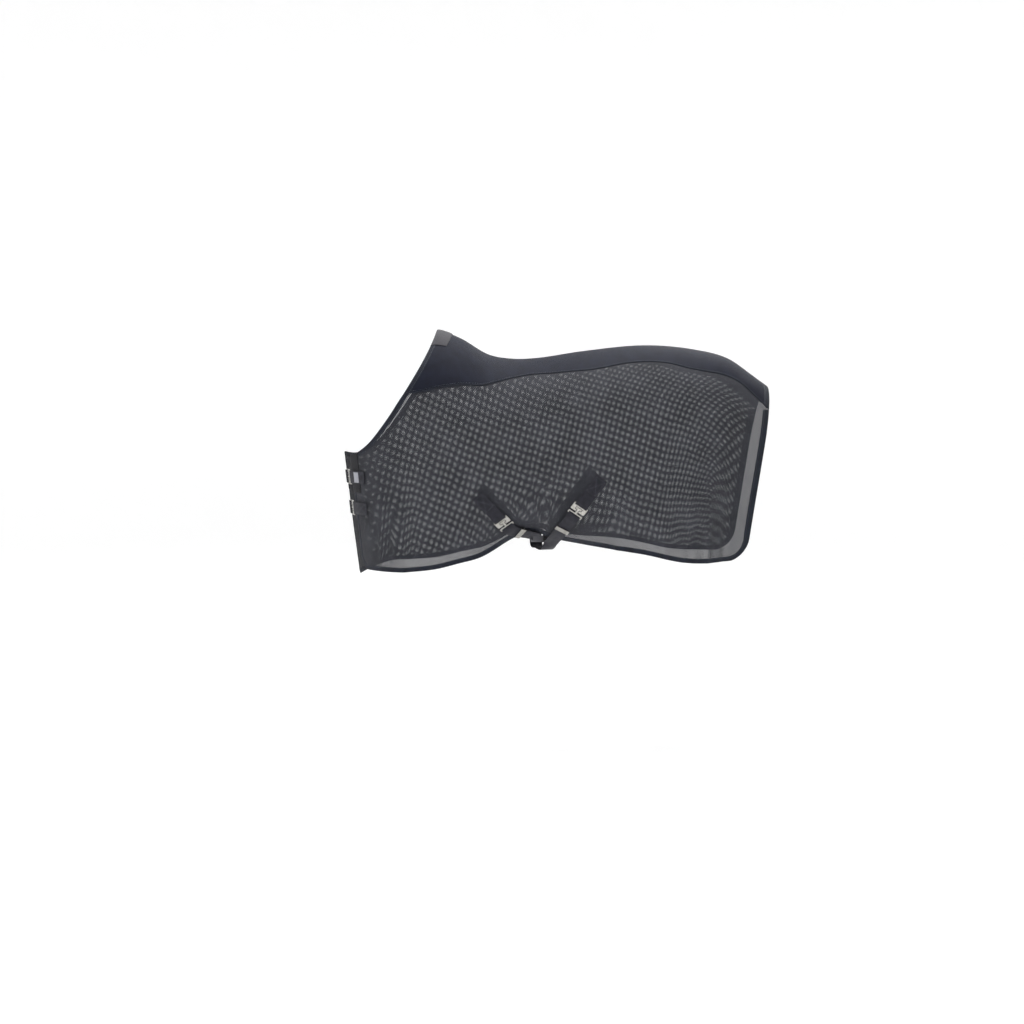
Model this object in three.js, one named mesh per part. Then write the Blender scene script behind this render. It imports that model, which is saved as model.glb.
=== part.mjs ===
// Fly sheet for a horse: a light mesh rug that hangs over the back and both sides, with a
// stretch panel along the topline, bound edges, two chest straps and two crossed belly straps.
// Millimetres. X runs from chest to tail, Y to the horse's right, Z up. The origin is the point
// of the withers that carries the sheet.
import * as THREE from "three";

// Overall sizes
const BACK_LENGTH = 1308; // withers to dock
const DROP = 940; // withers to the lowest hem
const HALF_SHOULDER = 262; // half widths of the hanging sides
const HALF_BARREL = 322;
const HALF_REAR = 205;
const SHOULDER_SETBACK = 118; // the shoulder line, where each front flap bends, ahead of the withers
const CHEST_REACH = 254; // the chest ahead of the shoulder line
const CHEST_BOW_POWER = 1.75; // 2 is an ellipse in plan, less is more pointed
const CHEST_LEAN = 0.12; // how far the front edges fall back for each millimetre of drop
const REAR_LEAN = 0.155;
const BELLY_PULL = 160; // how far the belly straps draw the hem in
const BELLY_PULL_SPREAD = 205; // along the hem, either way from the straps' crossing
const BELLY_PULL_TOP = 0.64; // share of the drop at which the pull starts
const BELLY_PULL_DEPTH = 0.21; // share of the drop over which it grows
const BELLY_PULL_LIMIT = 1.15;

// Cloth, tapes and pads
const MESH_THICKNESS = 4;
const PANEL_THICKNESS = 4;
const BINDING_THICKNESS = 6;
const BINDING_WIDTH = 18;
const REAR_BINDING_WIDTH = 26;
const PIPING_WIDTH = 5;
const PIPING_PROUD = 4;
const REAR_CORNER_RADIUS = 84;
const LEFT_CORNER_RADIUS = 62;
const RIGHT_CORNER_RADIUS = 24;
const RIGHT_CORNER_DIP = 32; // the right front corner hangs lower
const PATCH_THICKNESS = 1.6;
const PAD_THICKNESS = 7.4;
const PAD_LENGTH = 150;
const PAD_SHARE = 0.5; // share of the way from spine to seam that the pad and patch cover
const PAD_STEPS = 6; // facets across the pad and patch
const WITHERS_PATCH_LENGTH = 60;
const REINFORCEMENT_LENGTH = 62;
const REINFORCEMENT_DROP = 150;
const LABEL_LENGTH = 34;
const LABEL_HEIGHT = 40;
const LABEL_THICKNESS = 1.2;
const LABEL_SETBACK = 46; // middle of the label behind the left front edge

// Chest closing
const LEFT_EDGE = 112; // left flap's front edge, left of the chest's centre line
const RIGHT_EDGE = -6; // right flap's front edge, right of the centre line
const CHEST_STRAP_DROPS = { upper: 577, lower: 699 }; // below the withers
const CHEST_TAB_LENGTH = 100;
const CHEST_BAR_OVERHANG = 14; // the eye's bar ahead of the left front edge
const CHEST_LEGS = { eye: [4, 12], hook: [9, 11] }; // webbing past a bar, on its outer and inner side

// Webbing and buckles
const WEBBING_WIDTH = 50;
const WEBBING_THICKNESS = 2;
const BUCKLE_THICKNESS = 2.6;
const BUCKLE_MARGIN = 5; // frame outside the webbing on each side
const BAR = 3;
const SLOT = 5; // webbing slot beside the bar
const CROSSPIECE = 4; // frame between the webbing slot and the rest
const HEAD_LENGTH = 7;
const HEAD_WIDTH = 24;
const NECK_WIDTH = 8;
const LIP_LENGTH = 8;
const HOOK_SLACK = 5; // play of the hook's head along the strap; a closed head lies midway in it
const SIDE_SLACK = 2.5;
const FRAME_GAP = 5.5; // between the two buckle frames
const SLIDER_LENGTH = 22;
const SLIDER_WALL = 2.4;
const SLIDER_PLAY = 2;

// Clearances
const GAP = 0.4; // between neighbouring pieces
const SEAM_GAP = 1.2; // beside the piping
const PAD_GAP = 1.8; // under and over the topline panel
const FOLD_GAP = 3; // where the cloth bends on a hinge line
const STRAP_FOLD_GAP = 6; // where a strap does
const ON_CLOTH = 2.8; // a flat tape over curved cloth
const LOOP_PLAY = 0.4; // round a bar

const BELLY_LEGS = { eye: [12, 12], hook: [14, 12] };

// Belly straps: where each left tab's buckle bar lies, and which way its strap leaves
const BELLY_STRAPS = {
  front: { station: 0.19, rise: 116, run: 0.7, fall: -0.71, tab: 124, hemAside: -0.94, crossGap: 0 },
  rear: { station: 0.429, rise: 158, run: -0.6, fall: -0.8, tab: 128, hemAside: 0.9, crossGap: 32 },
};
const CROSSING_STATION = 0.315;
const BELOW_HEM = 1.2 * BINDING_WIDTH; // how far a strap runs on past the hem before it turns under
const UPPER_CROSSING = 12.4; // the upper strap at the crossing, below that
const CROSSING_SIDE = -20; // the straps cross a little left of the middle

const loopRadius = (BAR / 2) * Math.SQRT2 + LOOP_PLAY + WEBBING_THICKNESS / 2;
const barSpan = BAR / 2 + SLOT + CROSSPIECE + GAP + HEAD_LENGTH + 1.5 * HOOK_SLACK + LIP_LENGTH
  + FRAME_GAP + CROSSPIECE + SLOT + BAR / 2;
const withersZ = PAD_THICKNESS + PANEL_THICKNESS / 2 + PAD_GAP;

const { clamp, lerp, smoothstep } = THREE.MathUtils;
const LEFT = -1;
const RIGHT = 1;

// A smooth line through [position, value] pairs.
function profile(pairs) {
  const line = new THREE.CubicInterpolant(pairs.map((p) => p[0]), pairs.map((p) => p[1]), 1, []);
  return (x) => line.evaluate(x)[0];
}

// The same, with positions as shares of the back, after one pair at the shoulder line.
function backProfile(atShoulder, pairs) {
  const rest = pairs.map(([share, value]) => [share * BACK_LENGTH, value]);
  return profile([[-SHOULDER_SETBACK, atShoulder], ...rest]);
}

// ---- The surface that the sheet lies on ----

const SEAM_START = 252; // the topline seam meets the neckline this far below the withers
const topDrop = backProfile(0, [
  [0, 0], [0.07, 32], [0.155, 96], [0.23, 113], [0.3, 110], [0.44, 83], [0.63, 60], [0.78, 77],
  [0.88, 112], [0.95, 174], [1, 222],
]);
const seamDepth = backProfile(SEAM_START, [
  [0, 231], [0.12, 147], [0.19, 95], [0.27, 67], [0.37, 72], [0.46, 79], [0.58, 69], [0.68, 71],
  [0.75, 84], [0.89, 82], [1, 92],
]);
const roundDepth = backProfile(SEAM_START, [[0, 290], [0.25, 300], [0.5, 285], [0.75, 260], [1, 235]]);
const halfWidth = backProfile(HALF_SHOULDER, [
  [0, lerp(HALF_SHOULDER, HALF_BARREL, 0.06)], [0.2, lerp(HALF_SHOULDER, HALF_BARREL, 0.5)],
  [0.46, HALF_BARREL], [0.7, lerp(HALF_REAR, HALF_BARREL, 0.92)],
  [0.85, lerp(HALF_REAR, HALF_BARREL, 0.64)], [1, HALF_REAR],
]);
const hemRise = backProfile(2, [
  [0, 14], [0.07, 36], [0.135, 58], [0.18, 88], [0.225, 124], [0.27, 148], [0.3, 148],
  [0.345, 126], [0.44, 106], [0.53, 92], [0.62, 74], [0.72, 46], [0.8, 40], [0.94, 44], [1, 46],
]);
// The neckline below the seam's start, by distance round the chest from the shoulder line.
const neckFall = profile([[0, 0], [60, 93], [136, 178], [200, 218], [258, 235], [385, 228]]);

const topZ = (s) => withersZ - topDrop(Math.max(s, 0));
const seamZ = (s) => topZ(s) - seamDepth(s);
const hemZ = (s) => withersZ - DROP + hemRise(s);

// Plan of the chest from its centre line to the shoulder line.
class ChestBow extends THREE.Curve {
  getPoint(t, target = new THREE.Vector3()) {
    const angle = (t * Math.PI) / 2;
    const reach = Math.abs(Math.cos(angle)) ** (2 / CHEST_BOW_POWER);
    const side = Math.abs(Math.sin(angle)) ** (2 / CHEST_BOW_POWER);
    return target.set(CHEST_REACH * reach, HALF_SHOULDER * side, 0);
  }
}
const chestBow = new ChestBow();
const bowLength = chestBow.getLength();

// Station s is the distance behind the withers. Ahead of the shoulder line it goes on round the
// chest, and chestStation gives it for a place so far from the chest's centre line.
const chestStation = (fromCentre) => fromCentre - bowLength - SHOULDER_SETBACK;

function chestPoint(s, z, side) {
  const fromCentre = s + bowLength + SHOULDER_SETBACK;
  const t = chestBow.getUtoTmapping(clamp(Math.abs(fromCentre) / bowLength, 0, 1));
  const plan = chestBow.getPoint(t);
  const fallBack = 1 + (CHEST_LEAN * (z - withersZ + SEAM_START + neckFall(200))) / CHEST_REACH;
  const x = -SHOULDER_SETBACK - plan.x * fallBack;
  return new THREE.Vector3(x, side * Math.sign(fromCentre || 1) * plan.y, z);
}

function rearLean(s, z) {
  const below = Math.max(topZ(BACK_LENGTH) - z, 0);
  return REAR_LEAN * below * smoothstep(s, 0.69 * BACK_LENGTH, BACK_LENGTH);
}

// A point of the hanging side at station s and height z.
function sidePoint(s, z, side) {
  if (s < -SHOULDER_SETBACK) return chestPoint(s, z, side);
  const rounding = clamp(1 - (topZ(s) - z) / roundDepth(s), 0, 1);
  const near = Math.exp(-(((s - CROSSING_STATION * BACK_LENGTH) / BELLY_PULL_SPREAD) ** 2));
  const pull = BELLY_PULL * near * clamp(
    (-z - BELLY_PULL_TOP * DROP) / (BELLY_PULL_DEPTH * DROP), 0, BELLY_PULL_LIMIT,
  ) ** 2;
  const y = halfWidth(s) * Math.sqrt(1 - rounding ** 2) - pull;
  return new THREE.Vector3(s - rearLean(s, z), side * y, z);
}

// A point of the top, share f of the way round from the spine (0) to the seam (1 or -1).
function topPoint(s, f) {
  const full = Math.acos(clamp(1 - (topZ(s) - seamZ(s)) / roundDepth(s), 0, 1));
  const angle = Math.abs(f) * full;
  const z = topZ(s) - roundDepth(s) * (1 - Math.cos(angle));
  const y = halfWidth(s) * Math.sin(angle);
  return new THREE.Vector3(s - rearLean(s, z), Math.sign(f) * y, z);
}

// The neckline over the withers: its station at share f of the way to the seam.
const neckStation = (f) => -SHOULDER_SETBACK * (1 - Math.cos((Math.abs(f) * Math.PI) / 2)) ** 1.5;

// ---- Builders ----

const materials = {
  mesh: new THREE.MeshStandardMaterial({ color: 0x5f6167, roughness: 0.85 }),
  stretch: new THREE.MeshStandardMaterial({ color: 0x2c2d38, roughness: 0.7 }),
  tape: new THREE.MeshStandardMaterial({ color: 0x20252f, roughness: 0.75 }),
  fleece: new THREE.MeshStandardMaterial({ color: 0x3f3f45, roughness: 1 }),
  webbing: new THREE.MeshStandardMaterial({ color: 0x1c1c26, roughness: 0.8 }),
  label: new THREE.MeshStandardMaterial({ color: 0xdcdde0, roughness: 0.6 }),
  steel: new THREE.MeshStandardMaterial({ color: 0xc9cacc, roughness: 0.25, metalness: 1 }),
};

const sheet = new THREE.Group();

function addMesh(name, geometry, material) {
  const mesh = new THREE.Mesh(geometry, material);
  mesh.name = name;
  sheet.add(mesh);
  return mesh;
}

const upTo = (count) => Array.from({ length: count }, (_, i) => i);
const evenly = (from, to, count) => upTo(count + 1).map((i) => lerp(from, to, i / count));

function geometryOf(points, triangles) {
  const geometry = new THREE.BufferGeometry().setFromPoints(points);
  geometry.setIndex(triangles);
  geometry.computeVertexNormals();
  return geometry;
}

// Six times the volume that a list of triangles encloses: negative when they face inwards.
function facing(points, triangles) {
  let sum = 0;
  for (let i = 0; i < triangles.length; i += 3) {
    const [a, b, c] = [points[triangles[i]], points[triangles[i + 1]], points[triangles[i + 2]]];
    sum += a.dot(new THREE.Vector3().crossVectors(b, c));
  }
  return sum;
}

// A curved plate: at(u, v) gives its middle surface over the two lists of values, and it lies
// between two heights above that surface, outwards from the horse.
function plate(at, us, vs, low, high) {
  const du = 1e-3 * (us.at(-1) - us[0]);
  const dv = 1e-3 * (vs.at(-1) - vs[0]);
  const middle = us.flatMap((u) => vs.map((v) => {
    const alongU = at(u + du, v).sub(at(u - du, v));
    const alongV = at(u, v + dv).sub(at(u, v - dv));
    return { p: at(u, v), n: alongU.cross(alongV).normalize() };
  }));
  const centre = middle[Math.floor(middle.length / 2)];
  const horse = new THREE.Vector3(Math.max(centre.p.x, -SHOULDER_SETBACK), 0, -DROP / 2);
  const outward = Math.sign(centre.n.dot(centre.p.clone().sub(horse)));
  const points = [high, low].flatMap((height) =>
    middle.map(({ p, n }) => p.clone().addScaledVector(n, outward * height)));
  const rows = vs.length;
  const layer = middle.length;
  const triangles = [];
  const quad = (a, b, c, d) => triangles.push(a, b, c, a, c, d);
  for (let i = 0; i + 1 < us.length; i++)
    for (let j = 0; j + 1 < rows; j++) {
      const a = i * rows + j;
      quad(a, a + rows, a + rows + 1, a + 1);
      quad(layer + a, layer + a + 1, layer + a + rows + 1, layer + a + rows);
    }
  const last = us.length - 1;
  const rim = [
    ...upTo(last).map((i) => i * rows),
    ...upTo(rows - 1).map((j) => last * rows + j),
    ...upTo(last).map((i) => (last - i) * rows + rows - 1),
    ...upTo(rows - 1).map((j) => rows - 1 - j),
  ];
  rim.forEach((a, k) => {
    const b = rim[(k + 1) % rim.length];
    quad(a, layer + a, layer + b, b);
  });
  if (facing(points, triangles) < 0) triangles.reverse();
  return geometryOf(points, triangles);
}

// A flat tape along places { p, n }, where n points out of its face. It is made from one place's
// number to another's, which may be parts of a step.
function ribbon(places, width, thickness, from = 0, to = places.length - 1) {
  const path = new THREE.CatmullRomCurve3(places.map((k) => k.p), false, "centripetal");
  const lean = new THREE.CatmullRomCurve3(places.map((k) => k.n), false, "catmullrom", 0.5);
  const count = Math.ceil(3 * (to - from));
  const points = evenly(from, to, count).flatMap((k) => {
    const t = k / (places.length - 1);
    const p = path.getPoint(t);
    const along = path.getTangent(t);
    const across = along.clone().cross(lean.getPoint(t)).normalize();
    const out = across.clone().cross(along).normalize();
    return [[-1, -1], [1, -1], [1, 1], [-1, 1]].map(([a, b]) =>
      p.clone().addScaledVector(across, (a * width) / 2).addScaledVector(out, (b * thickness) / 2));
  });
  const triangles = [];
  for (let i = 0; i < count; i++)
    for (let k = 0; k < 4; k++) {
      const a = 4 * i + k;
      const b = 4 * i + ((k + 1) % 4);
      triangles.push(a, b, b + 4, a, b + 4, a + 4);
    }
  const last = 4 * count;
  triangles.push(0, 2, 1, 0, 3, 2, last, last + 1, last + 2, last, last + 2, last + 3);
  if (facing(points, triangles) < 0) triangles.reverse();
  return geometryOf(points, triangles);
}

// ---- Topline panel, withers and dock ----

const rearInside = BACK_LENGTH - REAR_BINDING_WIDTH;

// How fast the surface runs round the top at the seam, and how much of that is downwards.
function seamRates(s) {
  const full = Math.acos(clamp(1 - (topZ(s) - seamZ(s)) / roundDepth(s), 0, 1));
  const down = roundDepth(s) * Math.sin(full);
  const round = Math.hypot(halfWidth(s) * Math.cos(full), down);
  return { perShare: full * round, downwards: down / round };
}
const seamShare = (s, distance) => 1 - distance / seamRates(s).perShare;
const belowSeam = (s, distance) => seamZ(s) - distance * seamRates(s).downwards;
const besidePiping = PIPING_WIDTH / 2 + SEAM_GAP;

// Neighbouring plates share these steps, so that their facets meet.
const acrossTop = evenly(-1, 1, 12);
const alongBack = evenly(0, 1, 32);
const seamStart = -SHOULDER_SETBACK + BINDING_WIDTH + GAP;
const seamStations = alongBack.map((u) => lerp(seamStart, rearInside - GAP, u));
const TOP_TO_HEM_ROWS = 10;
const FLAP_ROWS = 8;

function toplinePanel() {
  const at = (u, f) => {
    const s = lerp(neckStation(f) + BINDING_WIDTH + GAP, rearInside - GAP, u);
    return topPoint(s, f * seamShare(s, besidePiping));
  };
  return plate(at, alongBack, acrossTop, -PANEL_THICKNESS / 2, PANEL_THICKNESS / 2);
}

function withersBinding() {
  const at = (u, f) => {
    const s = neckStation(f) + u * BINDING_WIDTH;
    return topPoint(s, f * seamShare(s, besidePiping));
  };
  return plate(at, [0, 1], acrossTop, -BINDING_THICKNESS / 2, BINDING_THICKNESS / 2);
}

function dockBinding() {
  const at = (s, f) => topPoint(s, f * seamShare(s, besidePiping));
  const stations = [rearInside, BACK_LENGTH];
  return plate(at, stations, acrossTop, -BINDING_THICKNESS / 2, BINDING_THICKNESS / 2);
}

function withersPad() {
  const top = -PANEL_THICKNESS / 2 - PAD_GAP;
  const at = (u, f) => topPoint(lerp(BINDING_WIDTH, BINDING_WIDTH + PAD_LENGTH, u), f);
  const shares = evenly(-PAD_SHARE, PAD_SHARE, PAD_STEPS);
  return plate(at, evenly(0, 1, 6), shares, top - PAD_THICKNESS, top);
}

function withersPatch() {
  const low = BINDING_THICKNESS / 2 + PAD_GAP;
  const at = (u, f) => topPoint(neckStation(f) + u * WITHERS_PATCH_LENGTH, f);
  const shares = evenly(-PAD_SHARE, PAD_SHARE, PAD_STEPS);
  return plate(at, evenly(0, 1, 3), shares, low, low + PATCH_THICKNESS);
}

addMesh("topline_panel", toplinePanel(), materials.stretch);
addMesh("withers_binding", withersBinding(), materials.tape);
addMesh("dock_binding", dockBinding(), materials.tape);
addMesh("withers_pad", withersPad(), materials.fleece);
addMesh("withers_patch", withersPatch(), materials.fleece);

// ---- Edges with a rounded corner ----

// An edge at one station, towards +1 (rear) or -1 (chest), with a rounded corner at the hem.
function roundedEdge(station, towards, radius, edgeWidth, hemAt) {
  const cornerStation = station - towards * radius;
  const cornerZ = hemAt(cornerStation) + radius;
  const inset = edgeWidth + GAP;
  const hemInset = BINDING_WIDTH + GAP;
  return {
    // The binding: t from 0 to 1 round the corner and on to 2 up the edge, v from outside in.
    band: (topAt) => (t, v) => {
      const angle = (Math.min(t, 1) * Math.PI) / 2;
      const s = cornerStation + towards * (radius - v * edgeWidth) * Math.sin(angle);
      const z = cornerZ - (radius - v * BINDING_WIDTH) * Math.cos(angle);
      return [s, t > 1 ? lerp(cornerZ, topAt(s), t - 1) : z];
    },
    cornerStation,
    // The panel inside it: its last stations, and its bottom at each station.
    stations: evenly(0, Math.PI / 2, 5).map((a) => cornerStation + towards * (radius - inset) * Math.sin(a)),
    bottom: (s) => {
      const share = clamp(((s - cornerStation) * towards) / (radius - inset), 0, 1);
      if (share === 0) return hemAt(s) + hemInset;
      return cornerZ - (radius - hemInset) * Math.sqrt(1 - share ** 2);
    },
  };
}

// A hanging panel between a top line and a bottom line over a list of stations.
function hangingPanel(side, stations, topAt, bottomAt, rows) {
  const span = stations.map((s) => [topAt(s), bottomAt(s)]);
  const at = (i, v) => {
    const k = clamp(Math.floor(i), 0, stations.length - 2);
    const s = lerp(stations[k], stations[k + 1], i - k);
    const top = lerp(span[k][0], span[k + 1][0], i - k);
    const bottom = lerp(span[k][1], span[k + 1][1], i - k);
    return sidePoint(s, lerp(top, bottom, v), side);
  };
  const columns = stations.map((_, i) => i);
  return plate(at, columns, evenly(0, 1, rows), -MESH_THICKNESS / 2, MESH_THICKNESS / 2);
}

function bindingStrip(side, at, ts) {
  const place = (t, v) => sidePoint(...at(t, v), side);
  return plate(place, ts, [0, 1], -BINDING_THICKNESS / 2, BINDING_THICKNESS / 2);
}

const cornerAndEdge = (steps) => [...evenly(0, 1, 5), ...evenly(1, 2, steps).slice(1)];

// ---- Side panels ----

const shoulderLine = -SHOULDER_SETBACK;
const sideStart = shoulderLine + FOLD_GAP / 2;
const rearEdge = roundedEdge(BACK_LENGTH, 1, REAR_CORNER_RADIUS, REAR_BINDING_WIDTH, hemZ);

const aheadOfCorner = seamStations.filter((s) => s < rearEdge.cornerStation - GAP - BINDING_WIDTH);
const sideStations = [sideStart, ...aheadOfCorner];

function sideMesh(side) {
  const stations = [...sideStations, ...rearEdge.stations];
  const topAt = (s) => belowSeam(s, besidePiping);
  return hangingPanel(side, stations, topAt, rearEdge.bottom, TOP_TO_HEM_ROWS);
}

function seamPiping(side) {
  const at = (s, v) => sidePoint(s, belowSeam(s, (v * PIPING_WIDTH) / 2), side);
  return plate(at, seamStations, [-1, 1], -BINDING_THICKNESS / 2, PIPING_PROUD);
}

function hemBinding(side) {
  const at = (s, v) => [s, hemZ(s) + v * BINDING_WIDTH];
  return bindingStrip(side, at, [...sideStations, rearEdge.cornerStation - GAP]);
}

function rearBinding(side) {
  const topAt = (s) => belowSeam(s, SEAM_GAP);
  return bindingStrip(side, rearEdge.band(topAt), cornerAndEdge(TOP_TO_HEM_ROWS));
}

// ---- Front flaps ----

const flapStart = shoulderLine - FOLD_GAP / 2;
const neckZ = (s) => withersZ - SEAM_START - neckFall(shoulderLine - s);

// The neck binding is as wide across on a slope as it is on the level.
function neckBandDepth(s) {
  return BINDING_WIDTH * Math.hypot(1, (neckZ(s + 1) - neckZ(s - 1)) / 2);
}

const flaps = {
  left: { side: LEFT, edge: chestStation(LEFT_EDGE), radius: LEFT_CORNER_RADIUS, dip: 0 },
  right: { side: RIGHT, edge: chestStation(RIGHT_EDGE), radius: RIGHT_CORNER_RADIUS, dip: RIGHT_CORNER_DIP },
};
for (const flap of Object.values(flaps)) {
  flap.hemAt = (s) => hemZ(shoulderLine) - flap.dip * smoothstep(shoulderLine - s, 60, bowLength);
  flap.front = roundedEdge(flap.edge, -1, flap.radius, BINDING_WIDTH, flap.hemAt);
}

const flapStations = (front) => evenly(flapStart, front.cornerStation, 12);

function frontMesh({ side, front }) {
  const stations = [...flapStations(front).slice(0, -1), ...front.stations];
  const topAt = (s) => neckZ(s) - neckBandDepth(s) - GAP;
  return hangingPanel(side, stations, topAt, front.bottom, FLAP_ROWS);
}

function neckBinding({ side, front, edge }) {
  const at = (s, v) => [s, neckZ(s) - v * neckBandDepth(s)];
  const end = edge + BINDING_WIDTH + GAP;
  const stations = [...flapStations(front).slice(0, -1), ...front.stations].filter((s) => s > end + 1);
  return bindingStrip(side, at, [...stations, end]);
}

function flapHemBinding({ side, front, hemAt }) {
  const at = (s, v) => [s, hemAt(s) + v * BINDING_WIDTH];
  return bindingStrip(side, at, [...flapStations(front).slice(0, -1), front.cornerStation + GAP]);
}

const frontBinding = ({ side, front }) => bindingStrip(side, front.band(neckZ), cornerAndEdge(FLAP_ROWS));

function chestReinforcement({ side, edge }) {
  const low = BINDING_THICKNESS / 2 + GAP;
  const at = (s, v) => sidePoint(s, lerp(neckZ(s) - 4, neckZ(edge) - REINFORCEMENT_DROP, v), side);
  const stations = evenly(edge + 3, edge + REINFORCEMENT_LENGTH, 5);
  return plate(at, stations, evenly(0, 1, 5), low, low + PATCH_THICKNESS);
}

for (const [name, flap] of Object.entries(flaps)) {
  addMesh(`side_mesh_${name}`, sideMesh(flap.side), materials.mesh);
  addMesh(`seam_piping_${name}`, seamPiping(flap.side), materials.tape);
  addMesh(`hem_binding_${name}`, hemBinding(flap.side), materials.tape);
  addMesh(`rear_binding_${name}`, rearBinding(flap.side), materials.tape);
  addMesh(`front_mesh_${name}`, frontMesh(flap), materials.mesh);
  addMesh(`neck_binding_${name}`, neckBinding(flap), materials.tape);
  addMesh(`front_binding_${name}`, frontBinding(flap), materials.tape);
  addMesh(`flap_hem_binding_${name}`, flapHemBinding(flap), materials.tape);
  addMesh(`chest_reinforcement_${name}`, chestReinforcement(flap), materials.webbing);
}

// ---- Webbing and buckles ----

const place = (p, n) => ({ p, n });
const moved = (p, ...steps) => steps.reduce((q, [v, d]) => q.addScaledVector(v, d), p.clone());

// A place at a height above the hanging surface, with the surface's outward normal.
function above(s, z, side, height) {
  const alongS = sidePoint(s + 1, z, side).sub(sidePoint(s - 1, z, side));
  const alongZ = sidePoint(s, z + 1, side).sub(sidePoint(s, z - 1, side));
  const n = alongS.cross(alongZ).normalize().multiplyScalar(-side);
  return place(moved(sidePoint(s, z, side), [n, height]), n);
}

// A frame at p: e runs along the strap towards target, n out of the strap's face.
function frameAt(p, target, n) {
  const e = target.clone().sub(p).normalize();
  const across = n.clone().cross(e).normalize();
  return { p, e, across, n: e.clone().cross(across) };
}

// Webbing round a buckle's bar: from the upper leg, so far back, round to the end of the lower.
function loopPlaces({ p, e, n }, upperLeg, lowerLeg) {
  const turn = upTo(5).map((k) => (k * Math.PI) / 4);
  return [
    place(moved(p, [n, loopRadius], [e, -upperLeg]), n),
    ...turn.map((a) => {
      const out = moved(new THREE.Vector3(), [n, Math.cos(a)], [e, Math.sin(a)]);
      return place(moved(p, [out, loopRadius]), out);
    }),
    place(moved(p, [n, -loopRadius], [e, -lowerLeg]), n.clone().negate()),
  ];
}

const webbing = (places, from, to) => ribbon(places, WEBBING_WIDTH, WEBBING_THICKNESS, from, to);

function roundedRectangle(path, x0, x1, halfWidth, radius) {
  path.moveTo(x0 + radius, -halfWidth);
  path.absarc(x1 - radius, radius - halfWidth, radius, -Math.PI / 2, 0, false);
  path.absarc(x1 - radius, halfWidth - radius, radius, 0, Math.PI / 2, false);
  path.absarc(x0 + radius, halfWidth - radius, radius, Math.PI / 2, Math.PI, false);
  path.absarc(x0 + radius, radius - halfWidth, radius, Math.PI, 1.5 * Math.PI, false);
  return path;
}

// Both buckle halves lie flat with the bar's middle at x = 0 and the other half towards +x.
const frameHalf = WEBBING_WIDTH / 2 + BUCKLE_MARGIN;
const slotHalf = WEBBING_WIDTH / 2 + BUCKLE_MARGIN / 3;
const frameEnd = BAR / 2 + SLOT + CROSSPIECE;
const CORNER = 1.2;
const webbingSlot = () => roundedRectangle(new THREE.Path(), BAR / 2, BAR / 2 + SLOT, slotHalf, CORNER);

function stamped(shape) {
  const geometry = new THREE.ExtrudeGeometry(shape, {
    depth: BUCKLE_THICKNESS, bevelEnabled: false, curveSegments: 3,
  });
  return geometry.translate(0, 0, -BUCKLE_THICKNESS / 2);
}

// The eye: a frame with a T-shaped opening, open at its far end, that the hook drops into.
function eyePlate() {
  const headHalf = HEAD_WIDTH / 2 + SIDE_SLACK;
  const neckHalf = NECK_WIDTH / 2 + SIDE_SLACK;
  const headEnd = frameEnd + GAP + HEAD_LENGTH + HOOK_SLACK;
  const end = headEnd + LIP_LENGTH;
  const corner = LIP_LENGTH / 2;
  const shape = new THREE.Shape();
  shape.moveTo(-BAR / 2, CORNER - frameHalf);
  shape.absarc(CORNER - BAR / 2, CORNER - frameHalf, CORNER, Math.PI, 1.5 * Math.PI, false);
  shape.absarc(end - corner, corner - frameHalf, corner, -Math.PI / 2, 0, false);
  shape.lineTo(end, -neckHalf);
  shape.lineTo(headEnd, -neckHalf);
  shape.lineTo(headEnd, -headHalf);
  shape.lineTo(frameEnd, -headHalf);
  shape.lineTo(frameEnd, headHalf);
  shape.lineTo(headEnd, headHalf);
  shape.lineTo(headEnd, neckHalf);
  shape.lineTo(end, neckHalf);
  shape.absarc(end - corner, frameHalf - corner, corner, 0, Math.PI / 2, false);
  shape.absarc(CORNER - BAR / 2, frameHalf - CORNER, CORNER, Math.PI / 2, Math.PI, false);
  shape.holes.push(webbingSlot());
  return stamped(shape);
}

// The hook: a short frame with a T-shaped tongue.
function hookPlate() {
  const headStart = frameEnd + FRAME_GAP + LIP_LENGTH + HOOK_SLACK;
  const headEnd = headStart + HEAD_LENGTH;
  const shape = new THREE.Shape();
  shape.moveTo(-BAR / 2, CORNER - frameHalf);
  shape.absarc(CORNER - BAR / 2, CORNER - frameHalf, CORNER, Math.PI, 1.5 * Math.PI, false);
  shape.absarc(frameEnd - CORNER, CORNER - frameHalf, CORNER, -Math.PI / 2, 0, false);
  shape.lineTo(frameEnd, -NECK_WIDTH / 2);
  shape.lineTo(headStart, -NECK_WIDTH / 2);
  shape.lineTo(headStart, -HEAD_WIDTH / 2);
  shape.lineTo(headEnd, -HEAD_WIDTH / 2);
  shape.lineTo(headEnd, HEAD_WIDTH / 2);
  shape.lineTo(headStart, HEAD_WIDTH / 2);
  shape.lineTo(headStart, NECK_WIDTH / 2);
  shape.lineTo(frameEnd, NECK_WIDTH / 2);
  shape.absarc(frameEnd - CORNER, frameHalf - CORNER, CORNER, 0, Math.PI / 2, false);
  shape.absarc(CORNER - BAR / 2, frameHalf - CORNER, CORNER, Math.PI / 2, Math.PI, false);
  shape.holes.push(webbingSlot());
  return stamped(shape);
}

function addAt(name, geometry, material, { p, e, across, n }) {
  const mesh = addMesh(name, geometry, material);
  mesh.quaternion.setFromRotationMatrix(new THREE.Matrix4().makeBasis(e, across, n));
  mesh.position.copy(p);
}

// A closed buckle from its eye's bar: the frames of both halves, facing each other.
function buckleFrames(bar, target, n) {
  const eye = frameAt(bar, target, n);
  const hookBar = moved(bar, [eye.e, barSpan]);
  return { eye, hook: frameAt(hookBar, bar, eye.n) };
}

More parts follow.
